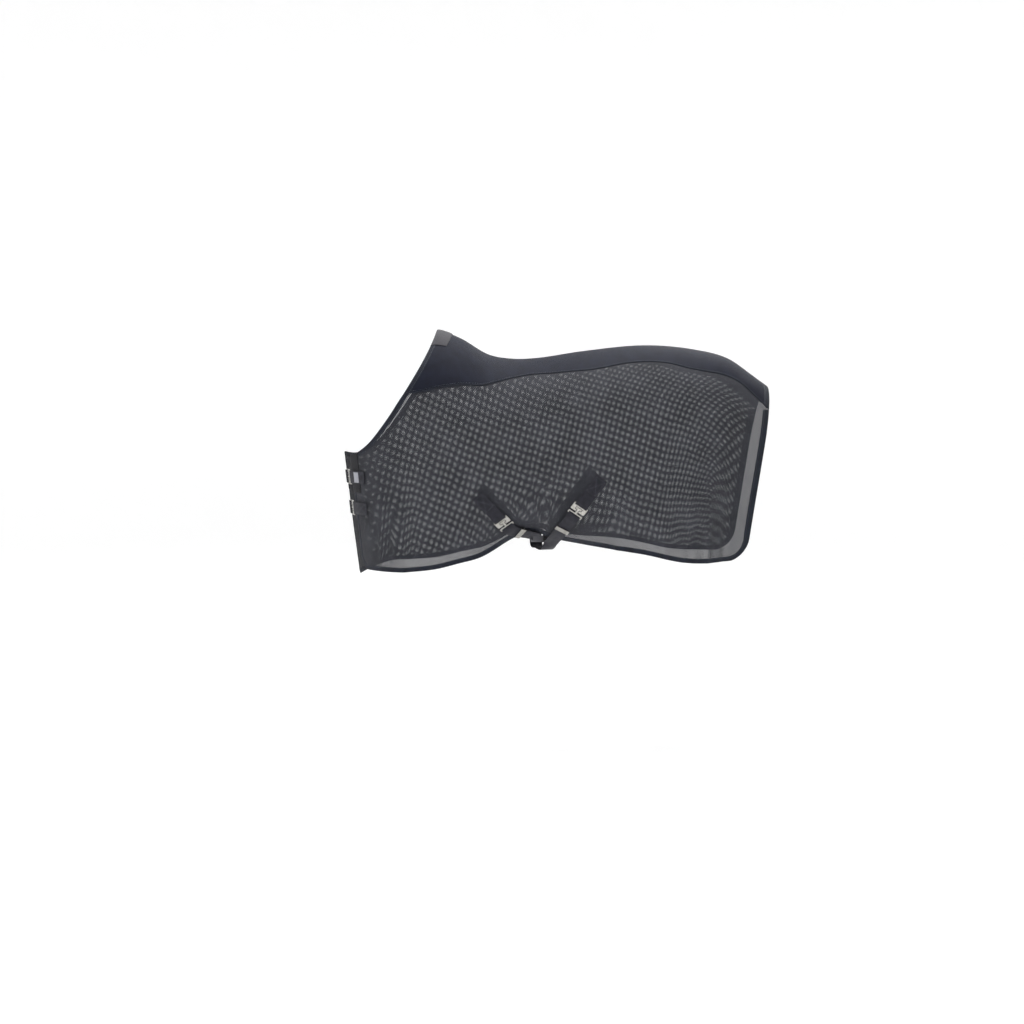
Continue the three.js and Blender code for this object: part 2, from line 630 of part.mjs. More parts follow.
function addBuckle(name, { eye, hook }) {
  addAt(`${name}_eye`, eyePlate(), materials.steel, eye);
  addAt(`${name}_hook`, hookPlate(), materials.steel, hook);
}

// A strap that folds at place number k, as its length before the fold and its length after it.
function foldedWebbing(places, k) {
  const half = (other) => STRAP_FOLD_GAP / 2 / places[k].p.distanceTo(places[other].p);
  return [webbing(places, 0, k - half(k - 1)), webbing(places, k + half(k + 1))];
}

// ---- Chest straps: tab and eye on the left flap, strap and hook on the right ----

const chestTabHeight = BINDING_THICKNESS / 2 + PATCH_THICKNESS + 2 * GAP + WEBBING_THICKNESS / 2;
const chestAt = (fromCentre, z, side, height) => above(chestStation(fromCentre), z, side, height);
const hinges = {};

for (const [name, drop] of Object.entries(CHEST_STRAP_DROPS)) {
  const z = withersZ - drop;
  const barHeight = chestTabHeight - loopRadius;
  const bar = chestAt(LEFT_EDGE - CHEST_BAR_OVERHANG, z, LEFT, barHeight);
  const ahead = chestAt(LEFT_EDGE - CHEST_BAR_OVERHANG - barSpan, z, LEFT, barHeight);
  const frames = buckleFrames(bar.p, ahead.p, bar.n);
  addBuckle(`chest_${name}`, frames);

  const sewn = evenly(LEFT_EDGE + CHEST_TAB_LENGTH, LEFT_EDGE + 4, 4);
  const tab = [
    ...sewn.map((a) => chestAt(a, z, LEFT, chestTabHeight)),
    ...loopPlaces(frames.eye, ...CHEST_LEGS.eye),
  ];
  addMesh(`chest_tab_${name}`, webbing(tab), materials.webbing);

  const fold = chestAt(RIGHT_EDGE - 2, z, RIGHT, chestTabHeight);
  const base = evenly(RIGHT_EDGE + 20, RIGHT_EDGE + CHEST_TAB_LENGTH, 3)
    .map((a) => chestAt(a, z, RIGHT, chestTabHeight));
  const loop = loopPlaces(frames.hook, ...CHEST_LEGS.hook).reverse();
  const [free, fixed] = foldedWebbing([...loop, fold, ...base], loop.length);
  addMesh(`chest_strap_${name}`, free, materials.webbing);
  addMesh(`chest_strap_base_${name}`, fixed, materials.webbing);
  hinges[`chest_${name}`] = { frames, fold, from: loop.at(-1) };
}

const labelAt = (s, v) => sidePoint(s, withersZ - CHEST_STRAP_DROPS.upper + v, LEFT);
const labelMiddle = flaps.left.edge + LABEL_SETBACK;
const labelStations = evenly(labelMiddle - LABEL_LENGTH / 2, labelMiddle + LABEL_LENGTH / 2, 4);
const labelLow = chestTabHeight + WEBBING_THICKNESS / 2 + GAP;
const labelHeights = [-LABEL_HEIGHT / 2, LABEL_HEIGHT / 2];
const labelPlate = plate(labelAt, labelStations, labelHeights, labelLow, labelLow + LABEL_THICKNESS);
addMesh("size_label", labelPlate, materials.label);

// ---- Belly straps: crossed under the belly, each from a right anchor to a left tab ----

const sewnHeight = MESH_THICKNESS / 2 + ON_CLOTH + WEBBING_THICKNESS / 2;
const overHemHeight = BINDING_THICKNESS / 2 + 3 * ON_CLOTH + WEBBING_THICKNESS / 2;
const bellyBarHeight = sewnHeight + ON_CLOTH + loopRadius;

// A belly strap's line on one side: its bar and the places so far up the sewn line from it.
function bellyLine({ station, rise, run, fall }, side) {
  const s = station * BACK_LENGTH;
  const z = hemZ(s) + rise;
  return (distance, height) => above(s - run * distance, z - fall * distance, side, height);
}

// The strap on its way from below the bar to the hem, lying on the cloth, and then beyond the hem.
function overCloth({ station, rise, run, fall, hemAside }, side) {
  const s = station * BACK_LENGTH + run * (barSpan + 14);
  const z = hemZ(station * BACK_LENGTH) + rise + fall * (barSpan + 14);
  const hemS = CROSSING_STATION * BACK_LENGTH + hemAside * WEBBING_WIDTH;
  const down = (share) => above(lerp(s, hemS, share), lerp(z, hemZ(hemS) + GAP, share), side, overHemHeight);
  const fold = down(1);
  const beyond = fold.p.clone().sub(down(0.8).p).normalize();
  return { down, fold, under: place(moved(fold.p, [beyond, BELOW_HEM]), fold.n) };
}

const anchors = { front: BELLY_STRAPS.rear, rear: BELLY_STRAPS.front };
for (const [name, strap] of Object.entries(BELLY_STRAPS)) {
  const line = bellyLine(strap, LEFT);
  const bar = line(0, bellyBarHeight);
  const frames = buckleFrames(bar.p, line(-barSpan, bellyBarHeight).p, bar.n);
  addBuckle(`surcingle_${name}`, frames);
  const tab = [
    ...evenly(strap.tab, 40, 3).map((d) => line(d, sewnHeight)),
    ...loopPlaces(frames.eye, ...BELLY_LEGS.eye),
  ];
  addMesh(`surcingle_tab_${name}`, webbing(tab), materials.webbing);

  const { down, fold, under } = overCloth(strap, LEFT);
  const loop = loopPlaces(frames.hook, ...BELLY_LEGS.hook).reverse();
  const anchor = anchors[name];
  const right = overCloth(anchor, RIGHT);
  const crossX = CROSSING_STATION * BACK_LENGTH;
  const facingDown = new THREE.Vector3(0, 0, -1);
  const beneath = (end, share) => place(new THREE.Vector3(
    lerp(crossX, end.p.x, share), lerp(CROSSING_SIDE, end.p.y, share), hemZ(crossX) - BELOW_HEM - UPPER_CROSSING - strap.crossGap,
  ), facingDown);
  const anchorLine = bellyLine(anchor, RIGHT);
  const [moving, fixed] = foldedWebbing([
    ...loop, down(0.2), down(0.45), down(0.7), fold, under,
    beneath(under, 0.6), beneath(under, 0), beneath(right.under, 0.6),
    right.under, right.fold, right.down(0.6), right.down(0.2),
    ...evenly(0, anchor.tab, 3).map((d) => anchorLine(d, sewnHeight)),
  ], loop.length + 3);
  addMesh(`surcingle_end_${name}`, moving, materials.webbing);
  addMesh(`surcingle_${name}`, fixed, materials.webbing);
  hinges[`surcingle_${name}`] = { frames, fold, from: down(0.7), slide: down(0.45), back: down(0.2) };
}

// A slider on each belly strap, with a tunnel for the webbing.
function slider() {
  const half = WEBBING_WIDTH / 2 + LOOP_PLAY;
  const inner = WEBBING_THICKNESS / 2 + SLIDER_PLAY;
  const outer = roundedRectangle(new THREE.Shape(), -inner - SLIDER_WALL, inner + SLIDER_WALL,
    half + SLIDER_WALL, CORNER);
  const tunnel = roundedRectangle(new THREE.Path(), -inner, inner, half, LOOP_PLAY);
  outer.holes.push(tunnel);
  const geometry = new THREE.ExtrudeGeometry(outer, {
    depth: SLIDER_LENGTH, bevelEnabled: false, curveSegments: 3,
  });
  return geometry.translate(0, 0, -SLIDER_LENGTH / 2).rotateY(Math.PI / 2);
}
for (const name of Object.keys(BELLY_STRAPS)) {
  const { slide, back, from } = hinges[`surcingle_${name}`];
  const target = slide.p.clone().add(from.p).sub(back.p);
  addAt(`slider_${name}`, slider(), materials.steel, frameAt(slide.p, target, slide.n));
}

export default sheet;
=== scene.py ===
import math

import bmesh
import bpy
import numpy as np
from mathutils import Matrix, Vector


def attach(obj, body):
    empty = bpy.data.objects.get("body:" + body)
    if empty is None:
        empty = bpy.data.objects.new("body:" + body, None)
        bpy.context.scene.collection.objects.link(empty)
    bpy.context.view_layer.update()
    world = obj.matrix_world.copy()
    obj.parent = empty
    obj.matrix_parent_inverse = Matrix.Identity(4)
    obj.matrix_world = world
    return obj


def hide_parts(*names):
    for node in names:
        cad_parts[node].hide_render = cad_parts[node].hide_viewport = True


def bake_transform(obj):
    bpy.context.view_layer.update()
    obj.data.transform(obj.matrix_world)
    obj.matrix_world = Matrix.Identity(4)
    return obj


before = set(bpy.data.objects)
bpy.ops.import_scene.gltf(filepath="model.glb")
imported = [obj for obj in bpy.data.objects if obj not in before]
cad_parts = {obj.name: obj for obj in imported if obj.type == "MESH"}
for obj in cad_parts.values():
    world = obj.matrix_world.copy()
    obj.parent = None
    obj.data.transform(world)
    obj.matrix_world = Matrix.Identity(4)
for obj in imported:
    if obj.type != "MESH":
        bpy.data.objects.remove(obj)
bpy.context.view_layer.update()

# ---- The view ----
# A horse stands side on, a few metres from the lens, on a studio floor that curves up into the
# wall. The floor is 1.65 m below the withers, and nothing but the sheet is shown.

EYE = Vector((0.296, -6.5, -0.25))
AIM = Vector((0.296, 0, -0.712))
PICTURE_WIDTH = 4.096  # metres across the picture at the horse's middle
SENSOR = 36.0
FLOOR_Z = -1.66
FLOOR_RADIUS = 9.0
WALL_RADIUS = 12.0


def linear(hex_colour):
    """An sRGB hex colour as linear red, green, blue and one."""
    parts = [int(hex_colour[i:i + 2], 16) / 255 for i in (1, 3, 5)]
    return [c / 12.92 if c <= 0.04045 else ((c + 0.055) / 1.055) ** 2.4 for c in parts] + [1.0]


def add(tree, kind, settings=(), links=()):
    """A node with its settings, by property or input name, and its links, as input to socket."""
    made = tree.nodes.new(kind)
    for name, value in dict(settings).items():
        if hasattr(made, str(name)):
            setattr(made, name, value)
        else:
            made.inputs[name].default_value = value
    for name, socket in dict(links).items():
        tree.links.new(socket, made.inputs[name])
    return made


def new_material(name):
    """A material with a bare node tree: its tree, and its Principled shader."""
    material = bpy.data.materials.new(name)
    material.use_nodes = True
    tree = material.node_tree
    return material, tree, tree.nodes["Principled BSDF"]


def link_object(name, mesh):
    made = bpy.data.objects.new(name, mesh)
    bpy.context.scene.collection.objects.link(made)
    return made


camera = bpy.data.objects.new("camera", bpy.data.cameras.new("camera"))
bpy.context.scene.collection.objects.link(camera)
camera.location = EYE
camera.rotation_euler = (AIM - EYE).to_track_quat("-Z", "Y").to_euler()
camera.data.sensor_width = SENSOR
camera.data.lens = SENSOR * (AIM - EYE).length / PICTURE_WIDTH
bpy.context.scene.camera = camera

stage_shape = bmesh.new()
sweep = WALL_RADIUS - FLOOR_RADIUS
profile_points = [(0.0, 0.0), (FLOOR_RADIUS, 0.0)]
for step in range(1, 9):
    turn = step * math.pi / 16
    profile_points.append((FLOOR_RADIUS + sweep * math.sin(turn), sweep * (1 - math.cos(turn))))
profile_points.append((WALL_RADIUS, 9.0))
corners = [stage_shape.verts.new((x, 0, FLOOR_Z + z)) for x, z in profile_points]
edges = [stage_shape.edges.new(pair) for pair in zip(corners, corners[1:])]
bmesh.ops.spin(stage_shape, geom=corners + edges, cent=(0, 0, 0), axis=(0, 0, 1),
               angle=math.tau, steps=64, use_merge=True)
bmesh.ops.remove_doubles(stage_shape, verts=stage_shape.verts, dist=1e-5)
bmesh.ops.recalc_face_normals(stage_shape, faces=stage_shape.faces)
stage_mesh = bpy.data.meshes.new("studio_floor")
stage_shape.to_mesh(stage_mesh)
stage_shape.free()
stage_mesh.shade_smooth()
studio_floor = link_object("studio_floor", stage_mesh)
paint, _, paint_shader = new_material("matt_white_paint")
paint_shader.inputs["Base Color"].default_value = linear("#f7f7f7")
paint_shader.inputs["Roughness"].default_value = 0.9
paint_shader.inputs["Specular IOR Level"].default_value = 0.1
paint_shader.inputs["Emission Color"].default_value = linear("#ffffff")
paint_shader.inputs["Emission Strength"].default_value = 0.215
stage_mesh.materials.append(paint)

world = bpy.data.worlds.new("studio_light")
world.use_nodes = True
world.node_tree.nodes["Background"].inputs["Color"].default_value = linear("#ffffff")
world.node_tree.nodes["Background"].inputs["Strength"].default_value = 0.45
bpy.context.scene.world = world
bpy.context.scene.view_settings.view_transform = "Standard"

SOFTBOXES = {  # place, what it points at, size, watts
    "key_softbox": ((-1.6, -4.2, 3.2), (0.4, 0, -0.4), 3.0, 110),
    "top_softbox": ((0.6, 0.4, 4.0), (0.5, 0, 0), 3.5, 330),
    "back_softbox": ((2.6, 4.2, 2.6), (0.5, 0, -0.4), 3.0, 60),
}
for name, (place, target, size, watts) in SOFTBOXES.items():
    lamp = bpy.data.objects.new(name, bpy.data.lights.new(name, "AREA"))
    bpy.context.scene.collection.objects.link(lamp)
    lamp.location = place
    lamp.rotation_euler = (Vector(target) - Vector(place)).to_track_quat("-Z", "Y").to_euler()
    lamp.data.shape = "DISK"
    lamp.data.size = size
    lamp.data.energy = watts

# ---- Stretch panel along the topline ----
# A dark blue-grey polyester and elastane jersey, as on riding leggings. It lies close over the
# back from the withers to the dock, and is sewn to the mesh sides along the piping.

MM = 0.001
BACK = 1308 * MM  # withers to dock
DROP = 940 * MM  # withers to the lowest hem
HALF_SHOULDER = 262 * MM
HALF_BARREL = 322 * MM
HALF_REAR = 205 * MM
SHOULDER_SETBACK = 118 * MM
SEAM_START = 252 * MM
REAR_LEAN = 0.155
WITHERS_Z = 11.2 * MM  # middle of the panel above the horse's withers
PANEL_CLOTH = 1.4 * MM


def profile(pairs):
    """A smooth line through (position, value) pairs, level beyond its ends."""
    xs, ys = np.array(pairs, float).T
    last = len(xs) - 1

    def value(x):
        x = np.clip(x, xs[0], xs[-1])
        i = np.clip(np.searchsorted(xs, x, side="right"), 1, last)
        before, after = np.where(i > 1, i - 2, i), np.where(i < last, i + 1, i - 1)
        gap = xs[i] - xs[i - 1]
        w0, w1 = 0.5 * gap / (xs[i - 1] - xs[before]), 0.5 * gap / (xs[after] - xs[i])
        p = (x - xs[i - 1]) / gap
        return (w0 * (-p**3 + 2 * p**2 - p) * ys[before]
                + ((1 + w0) * p**3 - (1.5 + 2 * w0) * p**2 + (w0 - 0.5) * p + 1) * ys[i - 1]
                + (-(1 + w1) * p**3 + (1.5 + w1) * p**2 + 0.5 * p) * ys[i]
                + w1 * (p**3 - p**2) * ys[after])
    return value


def along_back(at_shoulder, pairs):
    """A profile in millimetres along the back, by shares of its length, in metres."""
    rest = [(share * BACK, value * MM) for share, value in pairs]
    return profile([(-SHOULDER_SETBACK, at_shoulder), *rest])


top_drop = along_back(0, [
    (0, 0), (0.07, 32), (0.155, 96), (0.23, 113), (0.3, 110), (0.44, 83), (0.63, 60), (0.78, 77),
    (0.88, 112), (0.95, 174), (1, 222)])
seam_depth = along_back(SEAM_START, [
    (0, 231), (0.12, 147), (0.19, 95), (0.27, 67), (0.37, 72), (0.46, 79), (0.58, 69), (0.68, 71),
    (0.75, 84), (0.89, 82), (1, 92)])
round_depth = along_back(SEAM_START, [(0, 290), (0.25, 300), (0.5, 285), (0.75, 260), (1, 235)])
shoulder, barrel, rear = HALF_SHOULDER / MM, HALF_BARREL / MM, HALF_REAR / MM
half_width = along_back(HALF_SHOULDER, [
    (0, shoulder + 0.06 * (barrel - shoulder)), (0.2, (shoulder + barrel) / 2), (0.46, barrel),
    (0.7, rear + 0.92 * (barrel - rear)), (0.85, rear + 0.64 * (barrel - rear)), (1, rear)])


def smoothstep(x, low, high):
    t = np.clip((x - low) / (high - low), 0, 1)
    return t * t * (3 - 2 * t)


def top_z(s):
    return WITHERS_Z - top_drop(np.maximum(s, 0))


def seam_z(s):
    return top_z(s) - seam_depth(s)


def rear_lean(s, z):
    below = np.maximum(top_z(BACK) - z, 0)
    return REAR_LEAN * below * smoothstep(s, 0.69 * BACK, BACK)


def over_back(s, share):
    """The back's surface at station s, a share of the way round from spine (0) to seam (1, -1)."""
    full = np.arccos(np.clip(1 - seam_depth(s) / round_depth(s), 0, 1))
    angle = np.abs(share) * full
    z = top_z(s) - round_depth(s) * (1 - np.cos(angle))
    y = np.sign(share) * half_width(s) * np.sin(angle)
    return np.stack([s - rear_lean(s, z), y, z], -1)


def neck_station(share):
    """Where the neckline crosses the back, at a share of the way to the seam."""
    return -SHOULDER_SETBACK * (1 - np.cos(np.abs(share) * math.pi / 2)) ** 1.5


def lifted(surface, a, b, height, outside):
    """Points of surface(a, b) raised by a height, away from the point called outside's opposite."""
    step = 1e-4
    along_a = surface(a + step, b) - surface(a - step, b)
    along_b = surface(a, b + step) - surface(a, b - step)
    normal = np.cross(along_a, along_b)
    normal /= np.maximum(np.linalg.norm(normal, axis=-1, keepdims=True), 1e-12)
    return surface(a, b) + outside * normal * np.asarray(height)[..., None]


def bent_grid(name, columns, rows, place, close=False):
    """A grid bent to place(u, v), which gives points and a UV in metres, with u and v in 0 to 1."""
    shape = bmesh.new()
    bmesh.ops.create_grid(shape, x_segments=columns, y_segments=rows, size=0.5)
    uv_layer = shape.loops.layers.uv.new("cloth")
    flat = np.array([v.co[:] for v in shape.verts]) + 0.5
    points, uvs = place(flat[:, 0], flat[:, 1])
    shape.verts.index_update()
    for face in shape.faces:
        for loop in face.loops:
            loop[uv_layer].uv = uvs[loop.vert.index]
    for vert, point in zip(shape.verts, points):
        vert.co = point
    if close:
        bmesh.ops.remove_doubles(shape, verts=shape.verts, dist=2e-6)
        rim = [e for e in shape.edges if e.is_boundary]
        bmesh.ops.holes_fill(shape, edges=rim)
        bmesh.ops.recalc_face_normals(shape, faces=shape.faces)
    mesh = bpy.data.meshes.new(name)
    shape.to_mesh(mesh)
    shape.free()
    mesh.shade_smooth()
    return link_object(name, mesh)


def thicken(piece, thickness, offset=0.0):
    wall = piece.modifiers.new("wall", "SOLIDIFY")
    wall.thickness = thickness
    wall.offset = offset
    wall.use_even_offset = True


def panel_place(u, v):
    share = 2 * v - 1
    first = neck_station(share)
    s = first + u * (BACK - first)
    points = over_back(s, share)
    return points, np.stack([s, share * seam_depth(s) * 1.6], -1)


stretch_panel = bent_grid("stretch_panel", 220, 72, panel_place)
thicken(stretch_panel, PANEL_CLOTH)


def tint(tree, shader, factor, *stops):
    """The base colour runs through (position, hex colour) stops as the factor grows."""
    ramp = add(tree, "ShaderNodeValToRGB", (), {"Fac": factor})
    for element, (position, colour) in zip(ramp.color_ramp.elements, stops):
        element.position = position
        element.color = linear(colour)
    tree.links.new(ramp.outputs["Color"], shader.inputs["Base Color"])


def emboss(tree, shader, height, settings):
    bump = add(tree, "ShaderNodeBump", settings, {"Height": height})
    tree.links.new(bump.outputs["Normal"], shader.inputs["Normal"])


# Warp-knit polyester and elastane: smooth, a little glossy where it is drawn tight, with fine ribs.
RIB = 0.75 * MM  # from one fine rib to the next
jersey, tree, shader = new_material("stretch_jersey")
uv = add(tree, "ShaderNodeTexCoord").outputs["UV"]
ribs = add(tree, "ShaderNodeTexWave", {"bands_direction": "Y", "Scale": math.tau / 20 / RIB,
                                       "Distortion": 0.4, "Detail": 1.0}, {"Vector": uv})
slubs = add(tree, "ShaderNodeTexNoise", {"Scale": 26.0, "Detail": 5.0}, {"Vector": uv})
tint(tree, shader, slubs.outputs["Fac"], (0.3, "#11131d"), (0.72, "#161925"))
emboss(tree, shader, ribs.outputs["Fac"], {"Strength": 0.25, "Distance": 0.0006})
shader.inputs["Roughness"].default_value = 0.66
shader.inputs["Specular IOR Level"].default_value = 0.1
shader.inputs["Sheen Weight"].default_value = 0.02
shader.inputs["Sheen Roughness"].default_value = 0.4
stretch_panel.data.materials.append(jersey)
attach(stretch_panel, "sheet")
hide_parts("topline_panel")

# ---- Mesh sides ----
# One piece of knitted polyester net on each side, from the front edge round the chest to the tail.
# It hangs free below the barrel, and the belly straps gather it, so soft folds fan up from there.

CHEST_REACH = 254 * MM
CHEST_BOW_POWER = 1.75
CHEST_LEAN = 0.12
BELLY_PULL = 160 * MM
PULL_SPREAD = 205 * MM  # along the hem, either way from the straps' crossing
PULL_TOP, PULL_DEPTH, PULL_LIMIT = 0.64, 0.21, 1.15  # shares of the drop
CROSSING = 0.315 * BACK
MESH_CLOTH = 0.9 * MM
LEFT, RIGHT = -1, 1
EDGE_FROM_CENTRE = {LEFT: 112 * MM, RIGHT: -6 * MM}
FRONT_RADIUS = {LEFT: 62 * MM, RIGHT: 24 * MM}
FRONT_DIP = {LEFT: 0.0, RIGHT: 32 * MM}
REAR_RADIUS = 84 * MM
TAPE = 18 * MM
REAR_TAPE = 26 * MM
FLAP = {LEFT: "left_flap", RIGHT: "right_flap"}
SIDE_NAME = {LEFT: "left", RIGHT: "right"}

hem_rise = along_back(2 * MM, [
    (0, 14), (0.07, 36), (0.135, 58), (0.18, 88), (0.225, 124), (0.27, 148), (0.3, 148),
    (0.345, 126), (0.44, 106), (0.53, 92), (0.62, 74), (0.72, 46), (0.8, 40), (0.94, 44), (1, 46)])
neck_fall = profile([(0, 0), (0.060, 0.093), (0.136, 0.178), (0.200, 0.218), (0.258, 0.235),
                     (0.385, 0.228)])

bow_turns = np.linspace(0, math.pi / 2, 201)
bow_x = CHEST_REACH * np.abs(np.cos(bow_turns)) ** (2 / CHEST_BOW_POWER)
bow_y = HALF_SHOULDER * np.abs(np.sin(bow_turns)) ** (2 / CHEST_BOW_POWER)
bow_run = np.concatenate([[0], np.cumsum(np.hypot(np.diff(bow_x), np.diff(bow_y)))])
BOW = bow_run[-1]


def chest_station(from_centre):
    return from_centre - BOW - SHOULDER_SETBACK


def hem_z(s):
    return WITHERS_Z - DROP + hem_rise(s)


def neck_z(s):
    return WITHERS_Z - SEAM_START - neck_fall(-SHOULDER_SETBACK - s)


def hanging(s, z, side):
    """The side's surface at station s, the distance behind the withers, and height z."""
    s, z = np.broadcast_arrays(np.asarray(s, float), np.asarray(z, float))
    rounding = np.clip(1 - (top_z(s) - z) / round_depth(s), 0, 1)
    near = np.exp(-(((s - CROSSING) / PULL_SPREAD) ** 2))
    pull = BELLY_PULL * near * np.clip((-z - PULL_TOP * DROP) / (PULL_DEPTH * DROP), 0, PULL_LIMIT) ** 2
    y = half_width(s) * np.sqrt(1 - rounding**2) - pull
    body = np.stack([s - rear_lean(s, z), side * y, z], -1)
    from_centre = s + BOW + SHOULDER_SETBACK
    turn = np.interp(np.clip(np.abs(from_centre), 0, BOW), bow_run, bow_turns)
    reach = CHEST_REACH * np.abs(np.cos(turn)) ** (2 / CHEST_BOW_POWER)
    across = HALF_SHOULDER * np.abs(np.sin(turn)) ** (2 / CHEST_BOW_POWER)
    lean = 1 + CHEST_LEAN * (z - WITHERS_Z + SEAM_START + neck_fall(0.2)) / CHEST_REACH
    sign = np.where(from_centre < 0, -1, 1)
    chest = np.stack([-SHOULDER_SETBACK - reach * lean, side * sign * across, z], -1)
    return np.where((s < -SHOULDER_SETBACK)[..., None], chest, body)


# Each fold runs from a low point to a high one, in metres along the back and up, with a half width
# and a height. A negative height is a valley.
FOLDS = [
    (0.395, -0.80, 0.300, -0.40, 0.016, -0.0050), (0.405, -0.80, 0.350, -0.36, 0.015, 0.0060),
    (0.415, -0.80, 0.402, -0.34, 0.015, -0.0055), (0.425, -0.80, 0.452, -0.36, 0.016, 0.0060),
    (0.440, -0.79, 0.505, -0.40, 0.018, -0.0050), (0.455, -0.79, 0.560, -0.46, 0.020, 0.0050),
    (0.475, -0.80, 0.640, -0.56, 0.024, -0.0050), (0.330, -0.80, 0.235, -0.48, 0.020, 0.0050),
    (0.250, -0.80, 0.150, -0.50, 0.024, -0.0050), (0.000, -0.78, 0.015, -0.34, 0.026, 0.0065),
    (0.055, -0.76, 0.068, -0.36, 0.022, -0.0055), (-0.060, -0.80, -0.048, -0.36, 0.024, -0.0055),
    (-0.110, -0.88, -0.100, -0.46, 0.026, 0.0050), (0.110, -0.80, 0.118, -0.42, 0.024, 0.0050),
    (0.700, -0.88, 0.690, -0.50, 0.030, 0.0060), (0.790, -0.88, 0.770, -0.46, 0.032, -0.0060),
    (0.880, -0.88, 0.850, -0.48, 0.034, 0.0070), (0.980, -0.88, 0.950, -0.44, 0.034, -0.0060),
    (1.090, -0.88, 1.060, -0.42, 0.036, 0.0070), (1.190, -0.86, 1.150, -0.40, 0.034, -0.0050),
    (-0.190, -0.88, -0.180, -0.58, 0.022, -0.0040), (-0.240, -0.88, -0.230, -0.60, 0.022, 0.0045),
]
# The tabs and straps lie flat on the cloth, which stays smooth under them.
FLAT_SPOTS = [(0.20, -0.78, 0.10), (0.12, -0.70, 0.07), (0.27, -0.84, 0.07), (0.56, -0.70, 0.09),
              (0.62, -0.61, 0.07), (0.49, -0.80, 0.09), (-0.33, -0.60, 0.12), (-0.36, -0.70, 0.12)]


def fold_height(s, z, side):
    """How far the cloth stands out from the hanging surface."""
    total = np.zeros(np.broadcast(s, z).shape)
    for number, (s0, z0, s1, z1, width, height) in enumerate(FOLDS):
        s0, s1 = (s0, s1) if side == LEFT else (s0 + 0.012 * math.sin(number), s1 + 0.02)
        length = math.hypot(s1 - s0, z1 - z0)
        ds, dz = (s1 - s0) / length, (z1 - z0) / length
        run = ((s - s0) * ds + (z - z0) * dz) / length
        off = (s - s0) * dz - (z - z0) * ds
        spread = width * (0.55 + 0.6 * np.clip(run, 0, 1))
        total += height * np.exp(-(off / spread) ** 2) * smoothstep(run, -0.25, 0.12) * (
            1 - smoothstep(run, 0.45, 1.05))
    ease = 0.0022 * np.sin(17 * s + 5 * z + side) * np.sin(9 * z - 4 * s) * smoothstep(-z, 0.3, 0.7)
    free = np.ones(np.shape(total))
    for s0, z0, radius in FLAT_SPOTS:
        free = free * (1 - np.exp(-(((s - s0) ** 2 + (z - z0) ** 2) / radius**2)))
    return (total + ease) * free


def cloth(s, z, side, height=0.0):
    """The folded cloth's surface, raised by a height outwards."""
    height = np.asarray(height) + fold_height(s, z, side)
    return lifted(lambda a, b: hanging(a, b, side), s, z, height, -side)


def flap_hem(s, side):
    dip = FRONT_DIP[side] * smoothstep(-SHOULDER_SETBACK - s, 0.06, BOW)
    return np.where(s < -SHOULDER_SETBACK, hem_z(-SHOULDER_SETBACK) - dip, hem_z(s))


def below_seam(s, distance):
    full = np.arccos(np.clip(1 - seam_depth(s) / round_depth(s), 0, 1))
    down = round_depth(s) * np.sin(full)
    return seam_z(s) - distance * down / np.hypot(half_width(s) * np.cos(full), down)


def top_edge(s):
    return np.where(s < -SHOULDER_SETBACK, neck_z(s), seam_z(s))


def bottom_edge(s, side):
    """The hem with its rounded corners."""
    z = flap_hem(s, side)
    for corner, towards, radius in (
            (chest_station(EDGE_FROM_CENTRE[side]) + FRONT_RADIUS[side], -1, FRONT_RADIUS[side]),
            (BACK - REAR_RADIUS, 1, REAR_RADIUS)):
        share = np.clip((s - corner) * towards / radius, 0, 1)
        centre = flap_hem(np.asarray(corner), side) + radius
        z = np.where(share > 0, centre - radius * np.sqrt(1 - share**2), z)
    return z


def cloth_place(side):
    edge = chest_station(EDGE_FROM_CENTRE[side])

    def place(u, v):
        # columns crowd towards both ends, where the corners are
        spread = u - 0.09 * np.sin(math.tau * u)
        s = edge + spread * (BACK - edge)
        z = top_edge(s) + v * (bottom_edge(s, side) - top_edge(s))
        return cloth(s, z, side), np.stack([s, z], -1)
    return place


def fold_across_shoulder(piece):
    """The piece's placement, baked into its mesh."""
    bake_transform(piece)


# Knitted polyester net with open cells. The yarn is dark grey and matt, and daylight passes the
# cells, so two layers seen through each other show moire. Real cells are 2.5 mm apart.
CELL = 5.0 * MM
GRAIN_LEAN = math.radians(5)  # each side is cut a little off the grain, mirrored
OPEN = 0.40  # the lower, the larger the cells
CELL_COVER = 0.10  # the fine threads inside a cell, too thin to draw
YARN_COVER = 0.97


